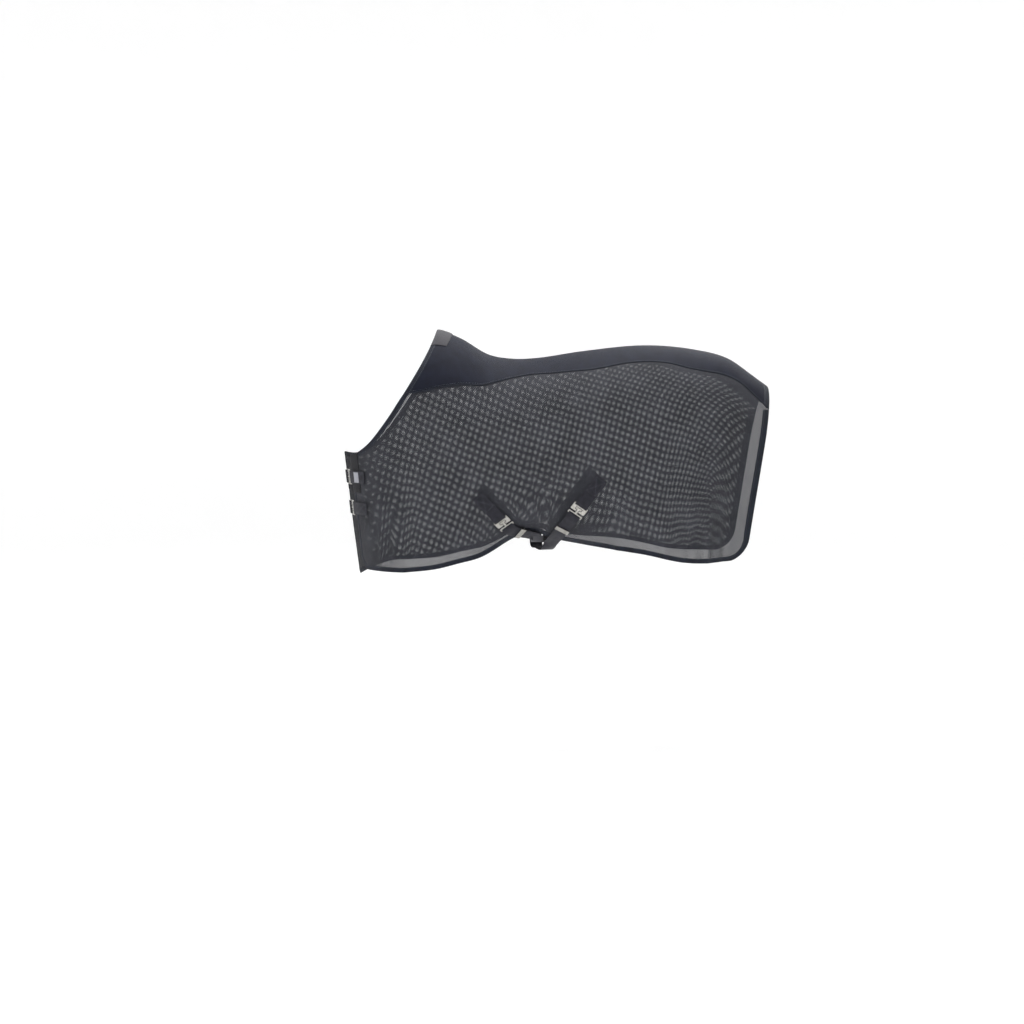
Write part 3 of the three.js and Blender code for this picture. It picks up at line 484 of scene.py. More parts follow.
def net_material(side):
    net, tree, shader = new_material("knitted_net_" + SIDE_NAME[side])
    uv = add(tree, "ShaderNodeTexCoord").outputs["UV"]
    turned = add(tree, "ShaderNodeMapping", {"Rotation": (0, 0, side * GRAIN_LEAN),
                                             "Scale": (math.tau / CELL / 1.2, math.tau / CELL / 1.5, 1)},
                 {"Vector": uv})
    axes = add(tree, "ShaderNodeSeparateXYZ", (), {"Vector": turned.outputs["Vector"]})
    waves = [add(tree, "ShaderNodeMath", {"operation": "COSINE"}, {0: axes.outputs[i]}) for i in (0, 1)]
    cells = add(tree, "ShaderNodeMath", {"operation": "MULTIPLY"},
                {0: waves[0].outputs[0], 1: waves[1].outputs[0]})
    alpha = add(tree, "ShaderNodeMapRange", {"interpolation_type": "SMOOTHSTEP", "From Min": OPEN - 0.08,
                                             "From Max": OPEN + 0.08, "To Min": YARN_COVER,
                                             "To Max": CELL_COVER},
                {"Value": cells.outputs[0]})
    tree.links.new(alpha.outputs["Result"], shader.inputs["Alpha"])
    cloud = add(tree, "ShaderNodeTexNoise", {"Scale": 9.0, "Detail": 4.0}, {"Vector": uv})
    tint(tree, shader, cloud.outputs["Fac"], (0.32, "#28292e"), (0.7, "#34353b"))
    emboss(tree, shader, cells.outputs[0], {"Strength": 0.5, "Distance": 0.0008, "invert": True})
    shader.inputs["Roughness"].default_value = 0.8
    shader.inputs["Specular IOR Level"].default_value = 0.2
    shader.inputs["Sheen Weight"].default_value = 0.05
    return net


for side in (LEFT, RIGHT):
    name = SIDE_NAME[side]
    piece = bent_grid(f"side_cloth_{name}", 250, 110, cloth_place(side))
    thicken(piece, MESH_CLOTH)
    piece.data.materials.append(net_material(side))
    fold_across_shoulder(piece)
    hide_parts(f"side_mesh_{name}", f"front_mesh_{name}")

# ---- Piping on the topline seam ----
# A cord inside a folded bias tape, caught in the seam between panel and net. It stands up a little
# as a dark line, with a row of topstitching on the panel just above it.

CORD_RADIUS = 2.4 * MM
piping_columns = 260


def piping_place(side):
    def place(u, v):
        s = -SHOULDER_SETBACK + TAPE * 0.6 + u * (BACK - REAR_TAPE * 0.4 + SHOULDER_SETBACK - TAPE * 0.6)
        turn = v * math.tau
        drop = CORD_RADIUS * 1.15 * np.cos(turn)
        height = CORD_RADIUS * (0.45 + np.sin(turn))
        return cloth(s, below_seam(s, drop), side, height), np.stack([s, v * 0.015], -1)
    return place


# Woven polyester binding tape: fine cross ribs, a little shine on the ribs, near black navy.
TAPE_RIB = 2.0 * MM  # the real ribs are 0.7 mm apart
tape_cloth, tree, shader = new_material("woven_tape")
uv = add(tree, "ShaderNodeTexCoord").outputs["UV"]
scaled = add(tree, "ShaderNodeMapping", {"Scale": (math.tau / TAPE_RIB, math.tau / TAPE_RIB, 1)},
             {"Vector": uv})
axes = add(tree, "ShaderNodeSeparateXYZ", (), {"Vector": scaled.outputs["Vector"]})
ribs = add(tree, "ShaderNodeMath", {"operation": "COSINE"}, {0: axes.outputs[0]})
fade = add(tree, "ShaderNodeTexNoise", {"Scale": 34.0, "Detail": 5.0}, {"Vector": uv})
tint(tree, shader, fade.outputs["Fac"], (0.3, "#0e1119"), (0.75, "#171c28"))
emboss(tree, shader, ribs.outputs[0], {"Strength": 0.4, "Distance": 0.0005})
shader.inputs["Roughness"].default_value = 0.7
shader.inputs["Specular IOR Level"].default_value = 0.2
shader.inputs["Sheen Weight"].default_value = 0.03

for side in (LEFT, RIGHT):
    name = SIDE_NAME[side]
    piece = bent_grid(f"piping_{name}", piping_columns, 12, piping_place(side), close=True)
    piece.data.materials.append(tape_cloth)
    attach(piece, "sheet")
    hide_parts(f"seam_piping_{name}")

# ---- Bound edges ----
# Woven tape folded over every raw edge and sewn through with one row near its inner side. The
# tape down the rear edge is wider, and turns the corner into the hem.

# Across the folded tape, from its inner side on the outside, round the edge and back inside:
# the share of the width, and the height in millimetres.
TAPE_LOOP = [(1.0, 0.75), (0.95, 1.2), (0.8, 1.15), (0.6, 1.3), (0.25, 1.45), (0.07, 1.35),
             (0.0, 0.8), (-0.02, 0.0), (0.0, -0.8), (0.07, -1.35), (0.25, -1.45), (0.6, -1.3),
             (0.8, -1.15), (0.95, -1.2), (1.0, -0.75), (1.0, 0.75)]
loop_share, loop_height = np.array(TAPE_LOOP).T
STITCH_SHARE = 0.8


def spaced(line, count):
    """The polyline's points again, at even steps of its length."""
    line = np.asarray(line, float)
    run = np.concatenate([[0], np.cumsum(np.linalg.norm(np.diff(line, axis=0), axis=1))])
    steps = np.linspace(0, run[-1], count)
    return np.stack([np.interp(steps, run, line[:, k]) for k in range(line.shape[1])], -1), run[-1]


def inward(line, widths, hand):
    """The polyline moved sideways by a width at each point."""
    along = np.gradient(line, axis=0)
    along /= np.linalg.norm(along, axis=1, keepdims=True)
    return line + hand * np.stack([-along[:, 1], along[:, 0]], -1) * widths[:, None]


def front_and_hem(side):
    edge, radius = chest_station(EDGE_FROM_CENTRE[side]), FRONT_RADIUS[side]
    centre = edge + radius
    centre_z = flap_hem(np.asarray(centre), side) + radius
    down = [(edge, z) for z in np.linspace(neck_z(edge), centre_z, 20)]
    turns = np.linspace(0, math.pi / 2, 12)[1:]
    corner = [(centre - radius * math.cos(a), centre_z - radius * math.sin(a)) for a in turns]
    hem = [(s, float(flap_hem(np.asarray(s), side))) for s in np.linspace(centre, BACK - REAR_RADIUS, 160)]
    return down + corner + hem[1:]


def rear_corner_and_edge(side):
    centre = BACK - REAR_RADIUS
    centre_z = float(hem_z(centre)) + REAR_RADIUS
    turns = np.linspace(0, math.pi / 2, 16)
    corner = [(centre + REAR_RADIUS * math.sin(a), centre_z - REAR_RADIUS * math.cos(a)) for a in turns]
    return corner + [(BACK, z) for z in np.linspace(centre_z, float(seam_z(BACK)), 40)[1:]]


def neckline(side):
    edge = chest_station(EDGE_FROM_CENTRE[side])
    return [(s, float(neck_z(s))) for s in np.linspace(edge, -SHOULDER_SETBACK, 60)]


def over_panel(s, across, height):
    """The panel's surface by distance from the spine."""
    def surface(a, b):
        return over_back(a, b / girth(a))
    return lifted(surface, s, across, height, 1)


def girth(s):
    """Spine to seam, along the surface."""
    full = np.arccos(np.clip(1 - seam_depth(s) / round_depth(s), 0, 1))
    return full * np.hypot(round_depth(s) * 0.62, half_width(s) * 0.8)


sewing_lines = {}  # stitch rows: points and outward normals, by the piece that they hold


def edge_tape(name, line, width, surface, hand, columns=200):
    """A folded tape along a line of the surface. surface(a, b, height) gives its points."""
    line, length = spaced(line, columns + 1)
    widths = np.broadcast_to(width, (columns + 1,)) if np.ndim(width) == 0 else spaced_width(width, columns)
    inner = inward(line, widths, hand)
    steps = np.linspace(0, 1, columns + 1)

    def place(u, v):
        share = np.interp(v, np.linspace(0, 1, len(loop_share)), loop_share)
        height = np.interp(v, np.linspace(0, 1, len(loop_share)), loop_height) * MM
        a = np.interp(u, steps, line[:, 0]) * (1 - share) + np.interp(u, steps, inner[:, 0]) * share
        b = np.interp(u, steps, line[:, 1]) * (1 - share) + np.interp(u, steps, inner[:, 1]) * share
        return surface(a, b, height), np.stack([u * length, share * TAPE], -1)
    piece = bent_grid(name, columns, len(TAPE_LOOP) - 1, place, close=True)
    piece.data.materials.append(tape_cloth)
    row = line * (1 - STITCH_SHARE) + inner * STITCH_SHARE
    sewing_lines[name] = [(surface(row[:, 0], row[:, 1], 1.2 * MM), surface(row[:, 0], row[:, 1], 2.2 * MM))]
    return piece


def spaced_width(widths, columns):
    return np.interp(np.linspace(0, 1, columns + 1), np.linspace(0, 1, len(widths)), widths)


for side in (LEFT, RIGHT):
    name = SIDE_NAME[side]

    def side_surface(a, b, height, side=side):
        return cloth(a, b, side, height)

    hem = edge_tape(f"front_and_hem_tape_{name}", front_and_hem(side), TAPE, side_surface, 1, 380)
    fold_across_shoulder(hem)
    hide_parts(f"hem_binding_{name}", f"flap_hem_binding_{name}", f"front_binding_{name}")
    rear = edge_tape(f"rear_tape_{name}", rear_corner_and_edge(side), [TAPE, REAR_TAPE, REAR_TAPE, REAR_TAPE,
                     REAR_TAPE], side_surface, 1, 180)
    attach(rear, "sheet")
    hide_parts(f"rear_binding_{name}")
    neck = edge_tape(f"neck_tape_{name}", neckline(side), TAPE, side_surface, -1, 110)
    fold_across_shoulder(neck)
    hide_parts(f"neck_binding_{name}")

shares = np.linspace(-1, 1, 121)
across_withers = [(float(neck_station(f)), f * float(girth(neck_station(f)))) for f in shares]
withers_tape = edge_tape("withers_tape", across_withers, TAPE, over_panel, -1, 120)
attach(withers_tape, "sheet")
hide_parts("withers_binding")
across_dock = [(BACK, f * float(girth(BACK))) for f in shares]
dock_tape = edge_tape("dock_tape", across_dock, REAR_TAPE, over_panel, 1, 120)
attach(dock_tape, "sheet")
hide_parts("dock_binding")

# ---- Fleece at the withers ----
# A short-pile fleece pad, quilted and sewn under the panel where the sheet rests on the withers,
# and a smaller dark grey fleece patch on top, beside the neckline.

PAD_LENGTH = 150 * MM
PAD_REACH = 0.5  # share of the way from spine to seam
PAD_FILL = 7.0 * MM
PATCH_LENGTH = 60 * MM
PATCH_PILE = 2.6 * MM


def tufts(a, b, size):
    """An uneven surface of soft tufts, from -1 to 1."""
    a, b = a / size, b / size
    return (np.sin(a + 1.3 * np.sin(0.7 * b)) * np.sin(b + 1.1 * np.sin(0.8 * a))
            + 0.5 * np.sin(2.3 * a + b) * np.sin(2.1 * b - a)) / 1.5


def pile_place(first, length, low, rise, reach, size):
    """A crowned pad over the panel's surface: v runs across the top face and back under it."""
    def place(u, v):
        top = v < 0.5
        across = np.where(top, 4 * v - 1, 3 - 4 * v)
        share = reach * across
        s = neck_station(share) * (first == 0) + first + u * length
        edge = np.minimum(1, 6 * np.minimum(np.minimum(u, 1 - u), (1 - np.abs(across)) / 2)) ** 0.5
        swell = rise * edge * (1 + 0.10 * tufts(s, share * 0.4, size))
        height = low + np.where(top, swell, 0)
        return over_panel(s, share * girth(s), height), np.stack([s, share * 0.35], -1)
    return place


# Polyester fleece: no shine, a soft bright edge where the pile is seen sideways.
fleece, tree, shader = new_material("short_pile_fleece")
place_of = add(tree, "ShaderNodeTexCoord").outputs["Object"]
clumps = add(tree, "ShaderNodeTexNoise", {"Scale": 420.0, "Detail": 6.0, "Roughness": 0.7},
             {"Vector": place_of})
# Painted shade: the same noise that raises the clumps makes the colour darker in the hollows between them.
tint(tree, shader, clumps.outputs["Fac"], (0.3, "#1b1a1e"), (0.7, "#333238"))
emboss(tree, shader, clumps.outputs["Fac"], {"Strength": 0.9, "Distance": 0.0015})
shader.inputs["Roughness"].default_value = 1.0
shader.inputs["Specular IOR Level"].default_value = 0.1
shader.inputs["Sheen Weight"].default_value = 0.12
shader.inputs["Sheen Roughness"].default_value = 0.8

withers_fleece = bent_grid("withers_fleece_pad", 90, 180,
                           pile_place(TAPE * 0.4, PAD_LENGTH, -2.2 * MM, -PAD_FILL, PAD_REACH, 0.004),
                           close=True)
withers_fleece.data.materials.append(fleece)
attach(withers_fleece, "sheet")
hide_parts("withers_pad")
patch = bent_grid("withers_fleece_patch", 60, 180,
                  pile_place(0, PATCH_LENGTH, 2.0 * MM, PATCH_PILE, PAD_REACH, 0.0025), close=True)
patch.data.materials.append(fleece)
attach(patch, "sheet")
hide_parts("withers_patch")

# ---- Chest reinforcement ----
# A doubled patch of plain black polyester cloth on each flap's front edge, which spreads the pull
# of the chest straps. It is sewn down all round.

PATCH_WIDTH = 62 * MM
PATCH_DROP = 150 * MM
PATCH_HEIGHT = 2.0 * MM
PLAIN_THREAD = 1.8 * MM  # the real threads are 0.4 mm apart


def reinforcement_place(side):
    edge = chest_station(EDGE_FROM_CENTRE[side])

    def place(u, v):
        s = edge + 1 * MM + u * (PATCH_WIDTH - 1 * MM)
        top = neck_z(s) - 1.5 * MM
        z = top + v * (neck_z(edge) - PATCH_DROP - top)
        return cloth(s, z, side, PATCH_HEIGHT), np.stack([s, z], -1)
    return place


def woven_material(name, dark, light, warp, weft, roughness, depth, sheen=0.03):
    """A plain weave: threads cross over and under at a pitch along and across."""
    woven, tree, shader = new_material(name)
    uv = add(tree, "ShaderNodeTexCoord").outputs["UV"]
    scaled = add(tree, "ShaderNodeMapping", {"Scale": (math.pi / warp, math.pi / weft, 1)},
                 {"Vector": uv})
    axes = add(tree, "ShaderNodeSeparateXYZ", (), {"Vector": scaled.outputs["Vector"]})
    waves = [add(tree, "ShaderNodeMath", {"operation": "COSINE"}, {0: axes.outputs[i]}) for i in (0, 1)]
    over = add(tree, "ShaderNodeMath", {"operation": "MULTIPLY"},
               {0: waves[0].outputs[0], 1: waves[1].outputs[0]})
    fade = add(tree, "ShaderNodeTexNoise", {"Scale": 60.0, "Detail": 4.0}, {"Vector": uv})
    # Painted shade: the colour is darker where the threads dip under the crossing ones, and the noise adds a
    # tone that varies at random.
    both = add(tree, "ShaderNodeMath", {"operation": "MULTIPLY_ADD", 1: 0.22},
               {0: over.outputs[0], 2: fade.outputs["Fac"]})
    tint(tree, shader, both.outputs[0], (0.25, dark), (0.8, light))
    emboss(tree, shader, over.outputs[0], {"Strength": 0.5, "Distance": depth})
    shader.inputs["Roughness"].default_value = roughness
    shader.inputs["Specular IOR Level"].default_value = 0.2
    shader.inputs["Sheen Weight"].default_value = sheen
    return woven


plain_cloth = woven_material("plain_woven_polyester", "#0f0f13", "#1b1b20", PLAIN_THREAD, PLAIN_THREAD,
                             0.75, 0.0004)
for side in (LEFT, RIGHT):
    name = SIDE_NAME[side]
    piece = bent_grid(f"chest_patch_{name}", 24, 48, reinforcement_place(side))
    thicken(piece, 0.9 * MM)
    piece.data.materials.append(plain_cloth)
    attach(piece, FLAP[side])
    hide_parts(f"chest_reinforcement_{name}")

# ---- Webbing ----
# Flat black polyester webbing, 50 mm wide. Short tabs are sewn to the left side, each round a
# buckle's bar, and the straps come from the right: two across the chest, two crossed under the
# belly, which fold up over the left hem.

WEB_WIDTH = 50 * MM
WEB_THICKNESS = 1.7 * MM
WEB_CAD = 2.0 * MM
BAR = 3 * MM
FROM_BAR_TO_BAR = 49.4 * MM  # eye's bar to hook's bar of a closed buckle
LOOP_RADIUS = BAR / 2 * math.sqrt(2) + 0.4 * MM + WEB_CAD / 2
ON_CLOTH = 2.8 * MM
CHEST_DROPS = {"upper": 577 * MM, "lower": 699 * MM}
CHEST_TAB = 100 * MM
CHEST_HEIGHT = 6.4 * MM
CHEST_OVERHANG = 14 * MM
CHEST_LEGS = {"eye": (4 * MM, 12 * MM), "hook": (9 * MM, 11 * MM)}  # webbing past each bar
BELLY_LEGS = {"eye": (12 * MM, 12 * MM), "hook": (14 * MM, 12 * MM)}
BEYOND_HOOK = 14 * MM
SEWN_HEIGHT = 2 * MM + ON_CLOTH + WEB_CAD / 2
OVER_HEM = 3 * MM + 3 * ON_CLOTH + WEB_CAD / 2
BAR_HEIGHT = SEWN_HEIGHT + ON_CLOTH + LOOP_RADIUS
CROSSING_SIDE = -20 * MM
BELLY_STRAPS = {
    "front": {"station": 0.19, "rise": 0.116, "run": 0.7, "fall": -0.71, "tab": 0.124, "aside": -0.94,
              "below": 0.034},
    "rear": {"station": 0.429, "rise": 0.158, "run": -0.6, "fall": -0.8, "tab": 0.128, "aside": 0.9,
             "below": 0.066},
}


def on_side(s, z, side, height):
    """A place of a strap: a point over the hanging surface and the outward normal there."""
    low = lifted(lambda a, b: hanging(a, b, side), np.array([s]), np.array([z]), 0.0, -side)[0]
    high = lifted(lambda a, b: hanging(a, b, side), np.array([s]), np.array([z]), 1e-3, -side)[0]
    normal = Vector(high - low).normalized()
    return Vector(low) + normal * height, normal


def frame_at(point, target, normal):
    along = (target - point).normalized()
    across = normal.cross(along).normalized()
    return point, along, along.cross(across)


def round_bar(bar, upper_leg, lower_leg):
    """Places of webbing from its upper leg, round a bar, to the end of its lower leg."""
    point, along, normal = bar
    places = [(point + normal * LOOP_RADIUS - along * upper_leg, normal)]
    for step in range(5):
        turn = step * math.pi / 4
        out = normal * math.cos(turn) + along * math.sin(turn)
        places.append((point + out * LOOP_RADIUS, out))
    return places + [(point - normal * LOOP_RADIUS - along * lower_leg, -normal)]


def centripetal(points):
    """A smooth curve through points, as a function of place number."""
    points = np.array([list(p) for p in points])
    ends = [2 * points[0] - points[1]], [2 * points[-1] - points[-2]]
    padded = np.concatenate([ends[0], points, ends[1]])

    def value(k):
        i = np.clip(np.floor(k).astype(int), 0, len(points) - 2)
        w = (k - i)[:, None]
        p = [padded[i + j] for j in range(4)]
        d = [np.maximum(np.linalg.norm(p[j + 1] - p[j], axis=1) ** 0.5, 1e-6)[:, None] for j in range(3)]
        m1 = d[1] * ((p[1] - p[0]) / d[0] - (p[2] - p[0]) / (d[0] + d[1]) + (p[2] - p[1]) / d[1])
        m2 = d[1] * ((p[2] - p[1]) / d[1] - (p[3] - p[1]) / (d[1] + d[2]) + (p[3] - p[2]) / d[2])
        return (p[1] + m1 * w + (3 * (p[2] - p[1]) - 2 * m1 - m2) * w**2
                + (2 * (p[1] - p[2]) + m1 + m2) * w**3)
    return value


def strap_frames(places, first, last, steps):
    """Centre, sideways and outward directions along a strap, at even steps of its length."""
    path = centripetal([p for p, _ in places])
    lean = centripetal([n for _, n in places])
    fine = np.linspace(first, last, 600)
    run = np.concatenate([[0], np.cumsum(np.linalg.norm(np.diff(path(fine), axis=0), axis=1))])
    k = np.interp(np.linspace(0, run[-1], steps), run, fine)
    along = path(k + 1e-3) - path(k - 1e-3)
    along /= np.linalg.norm(along, axis=1, keepdims=True)
    across = np.cross(along, lean(k))
    across /= np.linalg.norm(across, axis=1, keepdims=True)
    return path(k), across, np.cross(across, along), run[-1]


WEB_PICK = 3.0 * MM  # along; the real picks are 1.2 mm apart
WEB_END = 3.6 * MM  # across
webbing_cloth = woven_material("flat_woven_webbing", "#101016", "#23232c", WEB_PICK, WEB_END, 0.6,
                               0.0007)
strap_rows = {}


def strap(name, places, node, first=0, last=None, sewn=()):
    """A piece of webbing along its places. sewn lists stretches, as metres from its start, that are
    sewn down with a box and a cross."""
    last = len(places) - 1 if last is None else last
    length = strap_frames(places, first, last, 4)[3]
    steps = max(24, int(length / (4 * MM)))
    centre, across, out, length = strap_frames(places, first, last, steps)
    at = np.linspace(0, 1, steps)

    def place(u, v):
        middle = np.stack([np.interp(u, at, centre[:, k]) for k in range(3)], -1)
        sideways = np.stack([np.interp(u, at, across[:, k]) for k in range(3)], -1)
        return middle + sideways * ((v - 0.5) * WEB_WIDTH)[:, None], np.stack([u * length, v * WEB_WIDTH], -1)
    piece = bent_grid(name, steps - 1, 10, place)
    thicken(piece, WEB_THICKNESS)
    edge = piece.modifiers.new("edge", "BEVEL")
    edge.width = 0.5 * MM
    edge.segments = 2
    edge.limit_method = "ANGLE"
    piece.data.materials.append(webbing_cloth)
    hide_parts(node)

    def on_strap(distance, sideways, lift=WEB_THICKNESS / 2 + 0.1 * MM):
        u = np.clip(np.asarray(distance) / length, 0, 1)
        base = [np.stack([np.interp(u, at, a[:, k]) for k in range(3)], -1) for a in (centre, across, out)]
        return base[0] + base[1] * np.asarray(sideways)[..., None] + base[2] * lift
    rows = []
    inset = WEB_WIDTH / 2 - 5 * MM
    for start, end in sewn:
        box = [(start, -inset), (end, -inset), (end, inset), (start, inset), (start, -inset), (end, inset),
               (end, -inset), (start, inset)]
        for (a, b), (c, d) in zip(box, box[1:]):
            run = np.linspace(0, 1, 24)
            rows.append((on_strap(a + (c - a) * run, b + (d - b) * run),
                         on_strap(a + (c - a) * run, b + (d - b) * run, WEB_THICKNESS / 2 + 1.1 * MM)))
    strap_rows[name] = rows
    return piece


def buckle_bars(bar, target, normal):
    eye = frame_at(bar, target, normal)
    hook = frame_at(bar + eye[1] * FROM_BAR_TO_BAR, bar, eye[2])
    return eye, hook


for level, drop in CHEST_DROPS.items():
    z = WITHERS_Z - drop
    left_edge, right_edge = EDGE_FROM_CENTRE[LEFT], EDGE_FROM_CENTRE[RIGHT]
    bar_at = left_edge - CHEST_OVERHANG
    bar, normal = on_side(chest_station(bar_at), z, LEFT, CHEST_HEIGHT - LOOP_RADIUS)
    ahead, _ = on_side(chest_station(bar_at - FROM_BAR_TO_BAR), z, LEFT, CHEST_HEIGHT - LOOP_RADIUS)
    eye, hook = buckle_bars(bar, ahead, normal)
    tab = [on_side(chest_station(a), z, LEFT, CHEST_HEIGHT)
           for a in np.linspace(left_edge + CHEST_TAB, left_edge + 4 * MM, 5)]
    piece = strap(f"chest_tab_webbing_{level}", tab + round_bar(eye, *CHEST_LEGS["eye"]),
                  f"chest_tab_{level}", sewn=[(8 * MM, 78 * MM)])
    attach(piece, "left_flap")
    fold = on_side(chest_station(right_edge - 2 * MM), z, RIGHT, CHEST_HEIGHT)
    base = [on_side(chest_station(a), z, RIGHT, CHEST_HEIGHT)
            for a in np.linspace(right_edge + 20 * MM, right_edge + CHEST_TAB, 4)]
    loop = round_bar(hook, *CHEST_LEGS["hook"])[::-1]
    places = [*loop, fold, *base]
    piece = strap(f"chest_strap_webbing_{level}", places, f"chest_strap_{level}", 0, len(loop))
    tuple(fold[0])
    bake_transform(piece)
    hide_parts(f"chest_strap_{level}")
    piece = strap(f"chest_strap_end_webbing_{level}", places, f"chest_strap_base_{level}", len(loop),
                  sewn=[(28 * MM, 92 * MM)])
    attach(piece, "right_flap")


def over_hem(spec, side):
    s = spec["station"] * BACK + spec["run"] * (FROM_BAR_TO_BAR + BEYOND_HOOK)
    z = float(hem_z(spec["station"] * BACK)) + spec["rise"] + spec["fall"] * (FROM_BAR_TO_BAR + BEYOND_HOOK)
    hem_s = CROSSING + spec["aside"] * WEB_WIDTH
    hem_at = float(hem_z(hem_s)) + 0.4 * MM

    def down(share):
        return on_side(s + (hem_s - s) * share, z + (hem_at - z) * share, side, OVER_HEM)
    fold = down(1)
    beyond = (fold[0] - down(0.8)[0]).normalized()
    return down, fold, (fold[0] + beyond * 1.2 * TAPE, fold[1])


def tab_line(spec, side):
    s, z = spec["station"] * BACK, float(hem_z(spec["station"] * BACK)) + spec["rise"]
    return lambda distance, height: on_side(s - spec["run"] * distance, z - spec["fall"] * distance, side,
                                            height)


OTHER = {"front": "rear", "rear": "front"}
for name, spec in BELLY_STRAPS.items():
    line = tab_line(spec, LEFT)
    bar, normal = line(0, BAR_HEIGHT)
    eye, hook = buckle_bars(bar, line(-FROM_BAR_TO_BAR, BAR_HEIGHT)[0], normal)
    tab = [line(d, SEWN_HEIGHT) for d in np.linspace(spec["tab"], 40 * MM, 4)]
    piece = strap(f"belly_tab_webbing_{name}", tab + round_bar(eye, *BELLY_LEGS["eye"]),
                  f"surcingle_tab_{name}", sewn=[(8 * MM, 72 * MM)])
    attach(piece, "sheet")
    down, fold, under = over_hem(spec, LEFT)
    loop = round_bar(hook, *BELLY_LEGS["hook"])[::-1]
    anchor = BELLY_STRAPS[OTHER[name]]
    right_down, right_fold, right_under = over_hem(anchor, RIGHT)
    low = float(hem_z(CROSSING)) - spec["below"]

    def beneath(end, share):
        x = CROSSING + (end[0].x - CROSSING) * share
        y = CROSSING_SIDE + (end[0].y - CROSSING_SIDE) * share
        return Vector((x, y, low)), Vector((0, 0, -1))
    anchor_line = tab_line(anchor, RIGHT)
    places = [*loop, down(0.2), down(0.45), down(0.7), fold, under, beneath(under, 0.6),
              beneath(under, 0), beneath(right_under, 0.6), right_under, right_fold, right_down(0.6),
              right_down(0.2)]
    places += [anchor_line(d, SEWN_HEIGHT) for d in np.linspace(0, anchor["tab"], 4)]
    bend = len(loop) + 3
    piece = strap(f"belly_strap_end_webbing_{name}", places, f"surcingle_end_{name}", 0, bend)
    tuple(fold[0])
    fold[0] + (down(0.7)[0] - fold[0])
    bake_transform(piece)
    piece = strap(f"belly_strap_webbing_{name}", places, f"surcingle_{name}", bend)
    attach(piece, "sheet")

# ---- Size label ----
# A plain woven satin label, its ends folded under, sewn over the upper chest tab. It is left blank.

LABEL_LENGTH = 34 * MM
LABEL_HEIGHT = 40 * MM
LABEL_SETBACK = 46 * MM


def label_place(u, v):
    middle = chest_station(EDGE_FROM_CENTRE[LEFT]) + LABEL_SETBACK
    s = middle + (u - 0.5) * LABEL_LENGTH
    z = WITHERS_Z - CHEST_DROPS["upper"] + (v - 0.5) * LABEL_HEIGHT
    puff = 0.5 * MM * np.sin(math.pi * u) * np.sin(math.pi * v)
    height = CHEST_HEIGHT + WEB_THICKNESS / 2 + 0.9 * MM + puff
    surface = lifted(lambda a, b: hanging(a, b, LEFT), s, z, height, 1)
    return surface, np.stack([s, z], -1)


satin = woven_material("woven_satin", "#777880", "#8f9098", 1.2 * MM, 2.4 * MM, 0.42, 0.0002, 0.2)
label = bent_grid("size_label_satin", 16, 18, label_place)
thicken(label, 0.9 * MM)
label.data.materials.append(satin)
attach(label, "left_flap")
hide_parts("size_label")

# ---- Sewing thread ----
# Bonded polyester thread in dark navy, one lockstitch row along each tape and above the piping, and
# a box with a cross where webbing is sewn down.

STITCH = 4.2 * MM
STITCH_PITCH = 6.0 * MM  # the real stitches are 4 mm, drawn a little longer and thicker
THREAD = 1.0 * MM

thread, tree, shader = new_material("bonded_thread")
place_of = add(tree, "ShaderNodeTexCoord").outputs["Object"]
twist = add(tree, "ShaderNodeTexNoise", {"Scale": 900.0, "Detail": 2.0}, {"Vector": place_of})
tint(tree, shader, twist.outputs["Fac"], (0.0, "#2a2e3a"), (1.0, "#3c4150"))
shader.inputs["Roughness"].default_value = 0.45
shader.inputs["Sheen Weight"].default_value = 0.3


grain = bmesh.new()
bmesh.ops.create_uvsphere(grain, u_segments=6, v_segments=4, radius=1)
grain.verts.index_update()
GRAIN_POINTS = np.array([v.co[:] for v in grain.verts]) * (THREAD / 2, THREAD / 2, STITCH / 2)
GRAIN_FACES = [[v.index for v in face.verts] for face in grain.faces]
grain.free()


def sew(name, rows):
    """Rows of stitches. Each row is its points and the same points a millimetre further out."""
    stitches = []
    for inner, outer in rows:
        count = max(2, int(np.linalg.norm(np.diff(inner, axis=0), axis=1).sum() / STITCH_PITCH))
        points, _ = spaced(inner, 2 * count + 1)
        above, _ = spaced(outer, 2 * count + 1)
        start, end, middle = points[0:-2:2], points[2::2], points[1:-1:2]
        axes = [above[1:-1:2] - middle, end - start]
        axes = [a / np.linalg.norm(a, axis=1, keepdims=True) for a in axes]
        turn = np.stack([np.cross(axes[0], axes[1]), axes[0], axes[1]], 1)
        stitches.append(middle[:, None] + GRAIN_POINTS @ turn)
    points = np.concatenate(stitches)
    faces = [[k + i * len(GRAIN_POINTS) for k in face] for i in range(len(points)) for face in GRAIN_FACES]
    mesh = bpy.data.meshes.new(name)
    mesh.from_pydata(points.reshape(-1, 3).tolist(), [], faces)
    mesh.shade_smooth()
    mesh.materials.append(thread)
    return link_object(name, mesh)


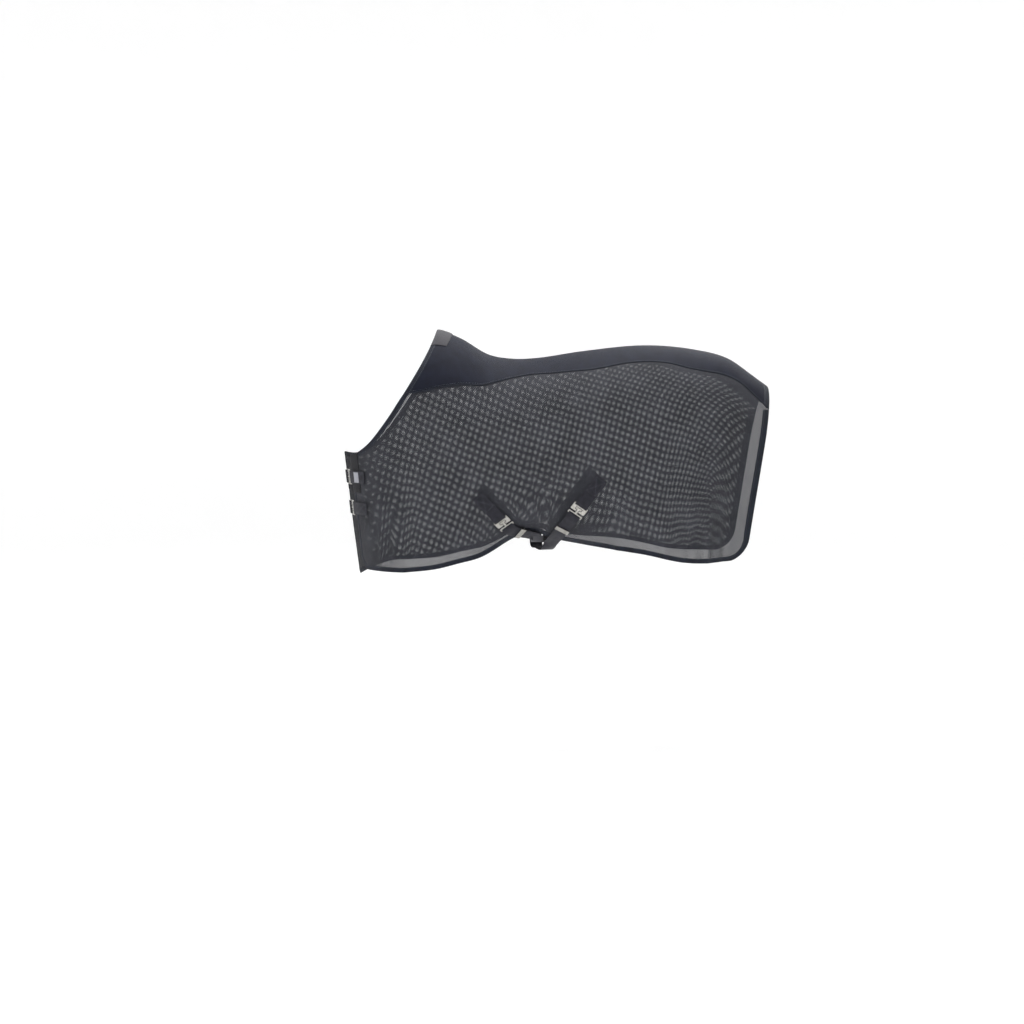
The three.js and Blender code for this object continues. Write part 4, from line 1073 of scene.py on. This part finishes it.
for side in (LEFT, RIGHT):
    name = SIDE_NAME[side]
    for tape in (f"front_and_hem_tape_{name}", f"neck_tape_{name}"):
        row = sew(f"{tape}_stitches", sewing_lines[tape])
        fold_across_shoulder(row)
    s = np.linspace(-SHOULDER_SETBACK + TAPE, BACK - REAR_TAPE, 300)
    seam_rows = [(over_panel(s, side * (girth(s) - 7 * MM), 0.9 * MM),
                  over_panel(s, side * (girth(s) - 7 * MM), 1.9 * MM))]
    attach(sew(f"seam_stitches_{name}", seam_rows + sewing_lines[f"rear_tape_{name}"]), "sheet")
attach(sew("withers_stitches", sewing_lines["withers_tape"] + sewing_lines["dock_tape"]), "sheet")
for level in CHEST_DROPS:
    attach(sew(f"chest_tab_stitches_{level}", strap_rows[f"chest_tab_webbing_{level}"]), "left_flap")
    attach(sew(f"chest_strap_stitches_{level}", strap_rows[f"chest_strap_end_webbing_{level}"]),
            "right_flap")
for name in BELLY_STRAPS:
    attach(sew(f"belly_tab_stitches_{name}", strap_rows[f"belly_tab_webbing_{name}"]), "sheet")

# ---- Buckles and sliders ----
# T-hook surcingle buckles and a slider on each belly strap: pressed steel with rounded edges,
# bright nickel plate that has dulled a little and picked up fine scratches.

EDGE_ROUND = 0.8 * MM
nickel, tree, shader = new_material("nickel_plated_steel")
place_of = add(tree, "ShaderNodeTexCoord").outputs["Object"]
haze = add(tree, "ShaderNodeTexNoise", {"Scale": 160.0, "Detail": 6.0, "Roughness": 0.65},
           {"Vector": place_of})
gloss = add(tree, "ShaderNodeMapRange", {"To Min": 0.16, "To Max": 0.36}, {"Value": haze.outputs["Fac"]})
tree.links.new(gloss.outputs["Result"], shader.inputs["Roughness"])
tint(tree, shader, haze.outputs["Fac"], (0.25, "#6f6d68"), (0.6, "#a3a29d"))
emboss(tree, shader, haze.outputs["Fac"], {"Strength": 0.12, "Distance": 0.0003})
shader.inputs["Metallic"].default_value = 1.0

metal_nodes = [f"{place}_{half}" for half in ("eye", "hook")
               for place in ("chest_upper", "chest_lower", "surcingle_front", "surcingle_rear")]
metal_nodes += ["slider_front", "slider_rear"]
for node_name in metal_nodes:
    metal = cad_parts[node_name]
    for slot in metal.material_slots:
        slot.material = nickel
    if not metal.material_slots:
        metal.data.materials.append(nickel)
    weld = metal.modifiers.new("weld", "WELD")
    weld.merge_threshold = 0.02 * MM
    rounded = metal.modifiers.new("rounded", "BEVEL")
    rounded.width = EDGE_ROUND
    rounded.segments = 3
    rounded.limit_method = "ANGLE"
    rounded.angle_limit = math.radians(40)
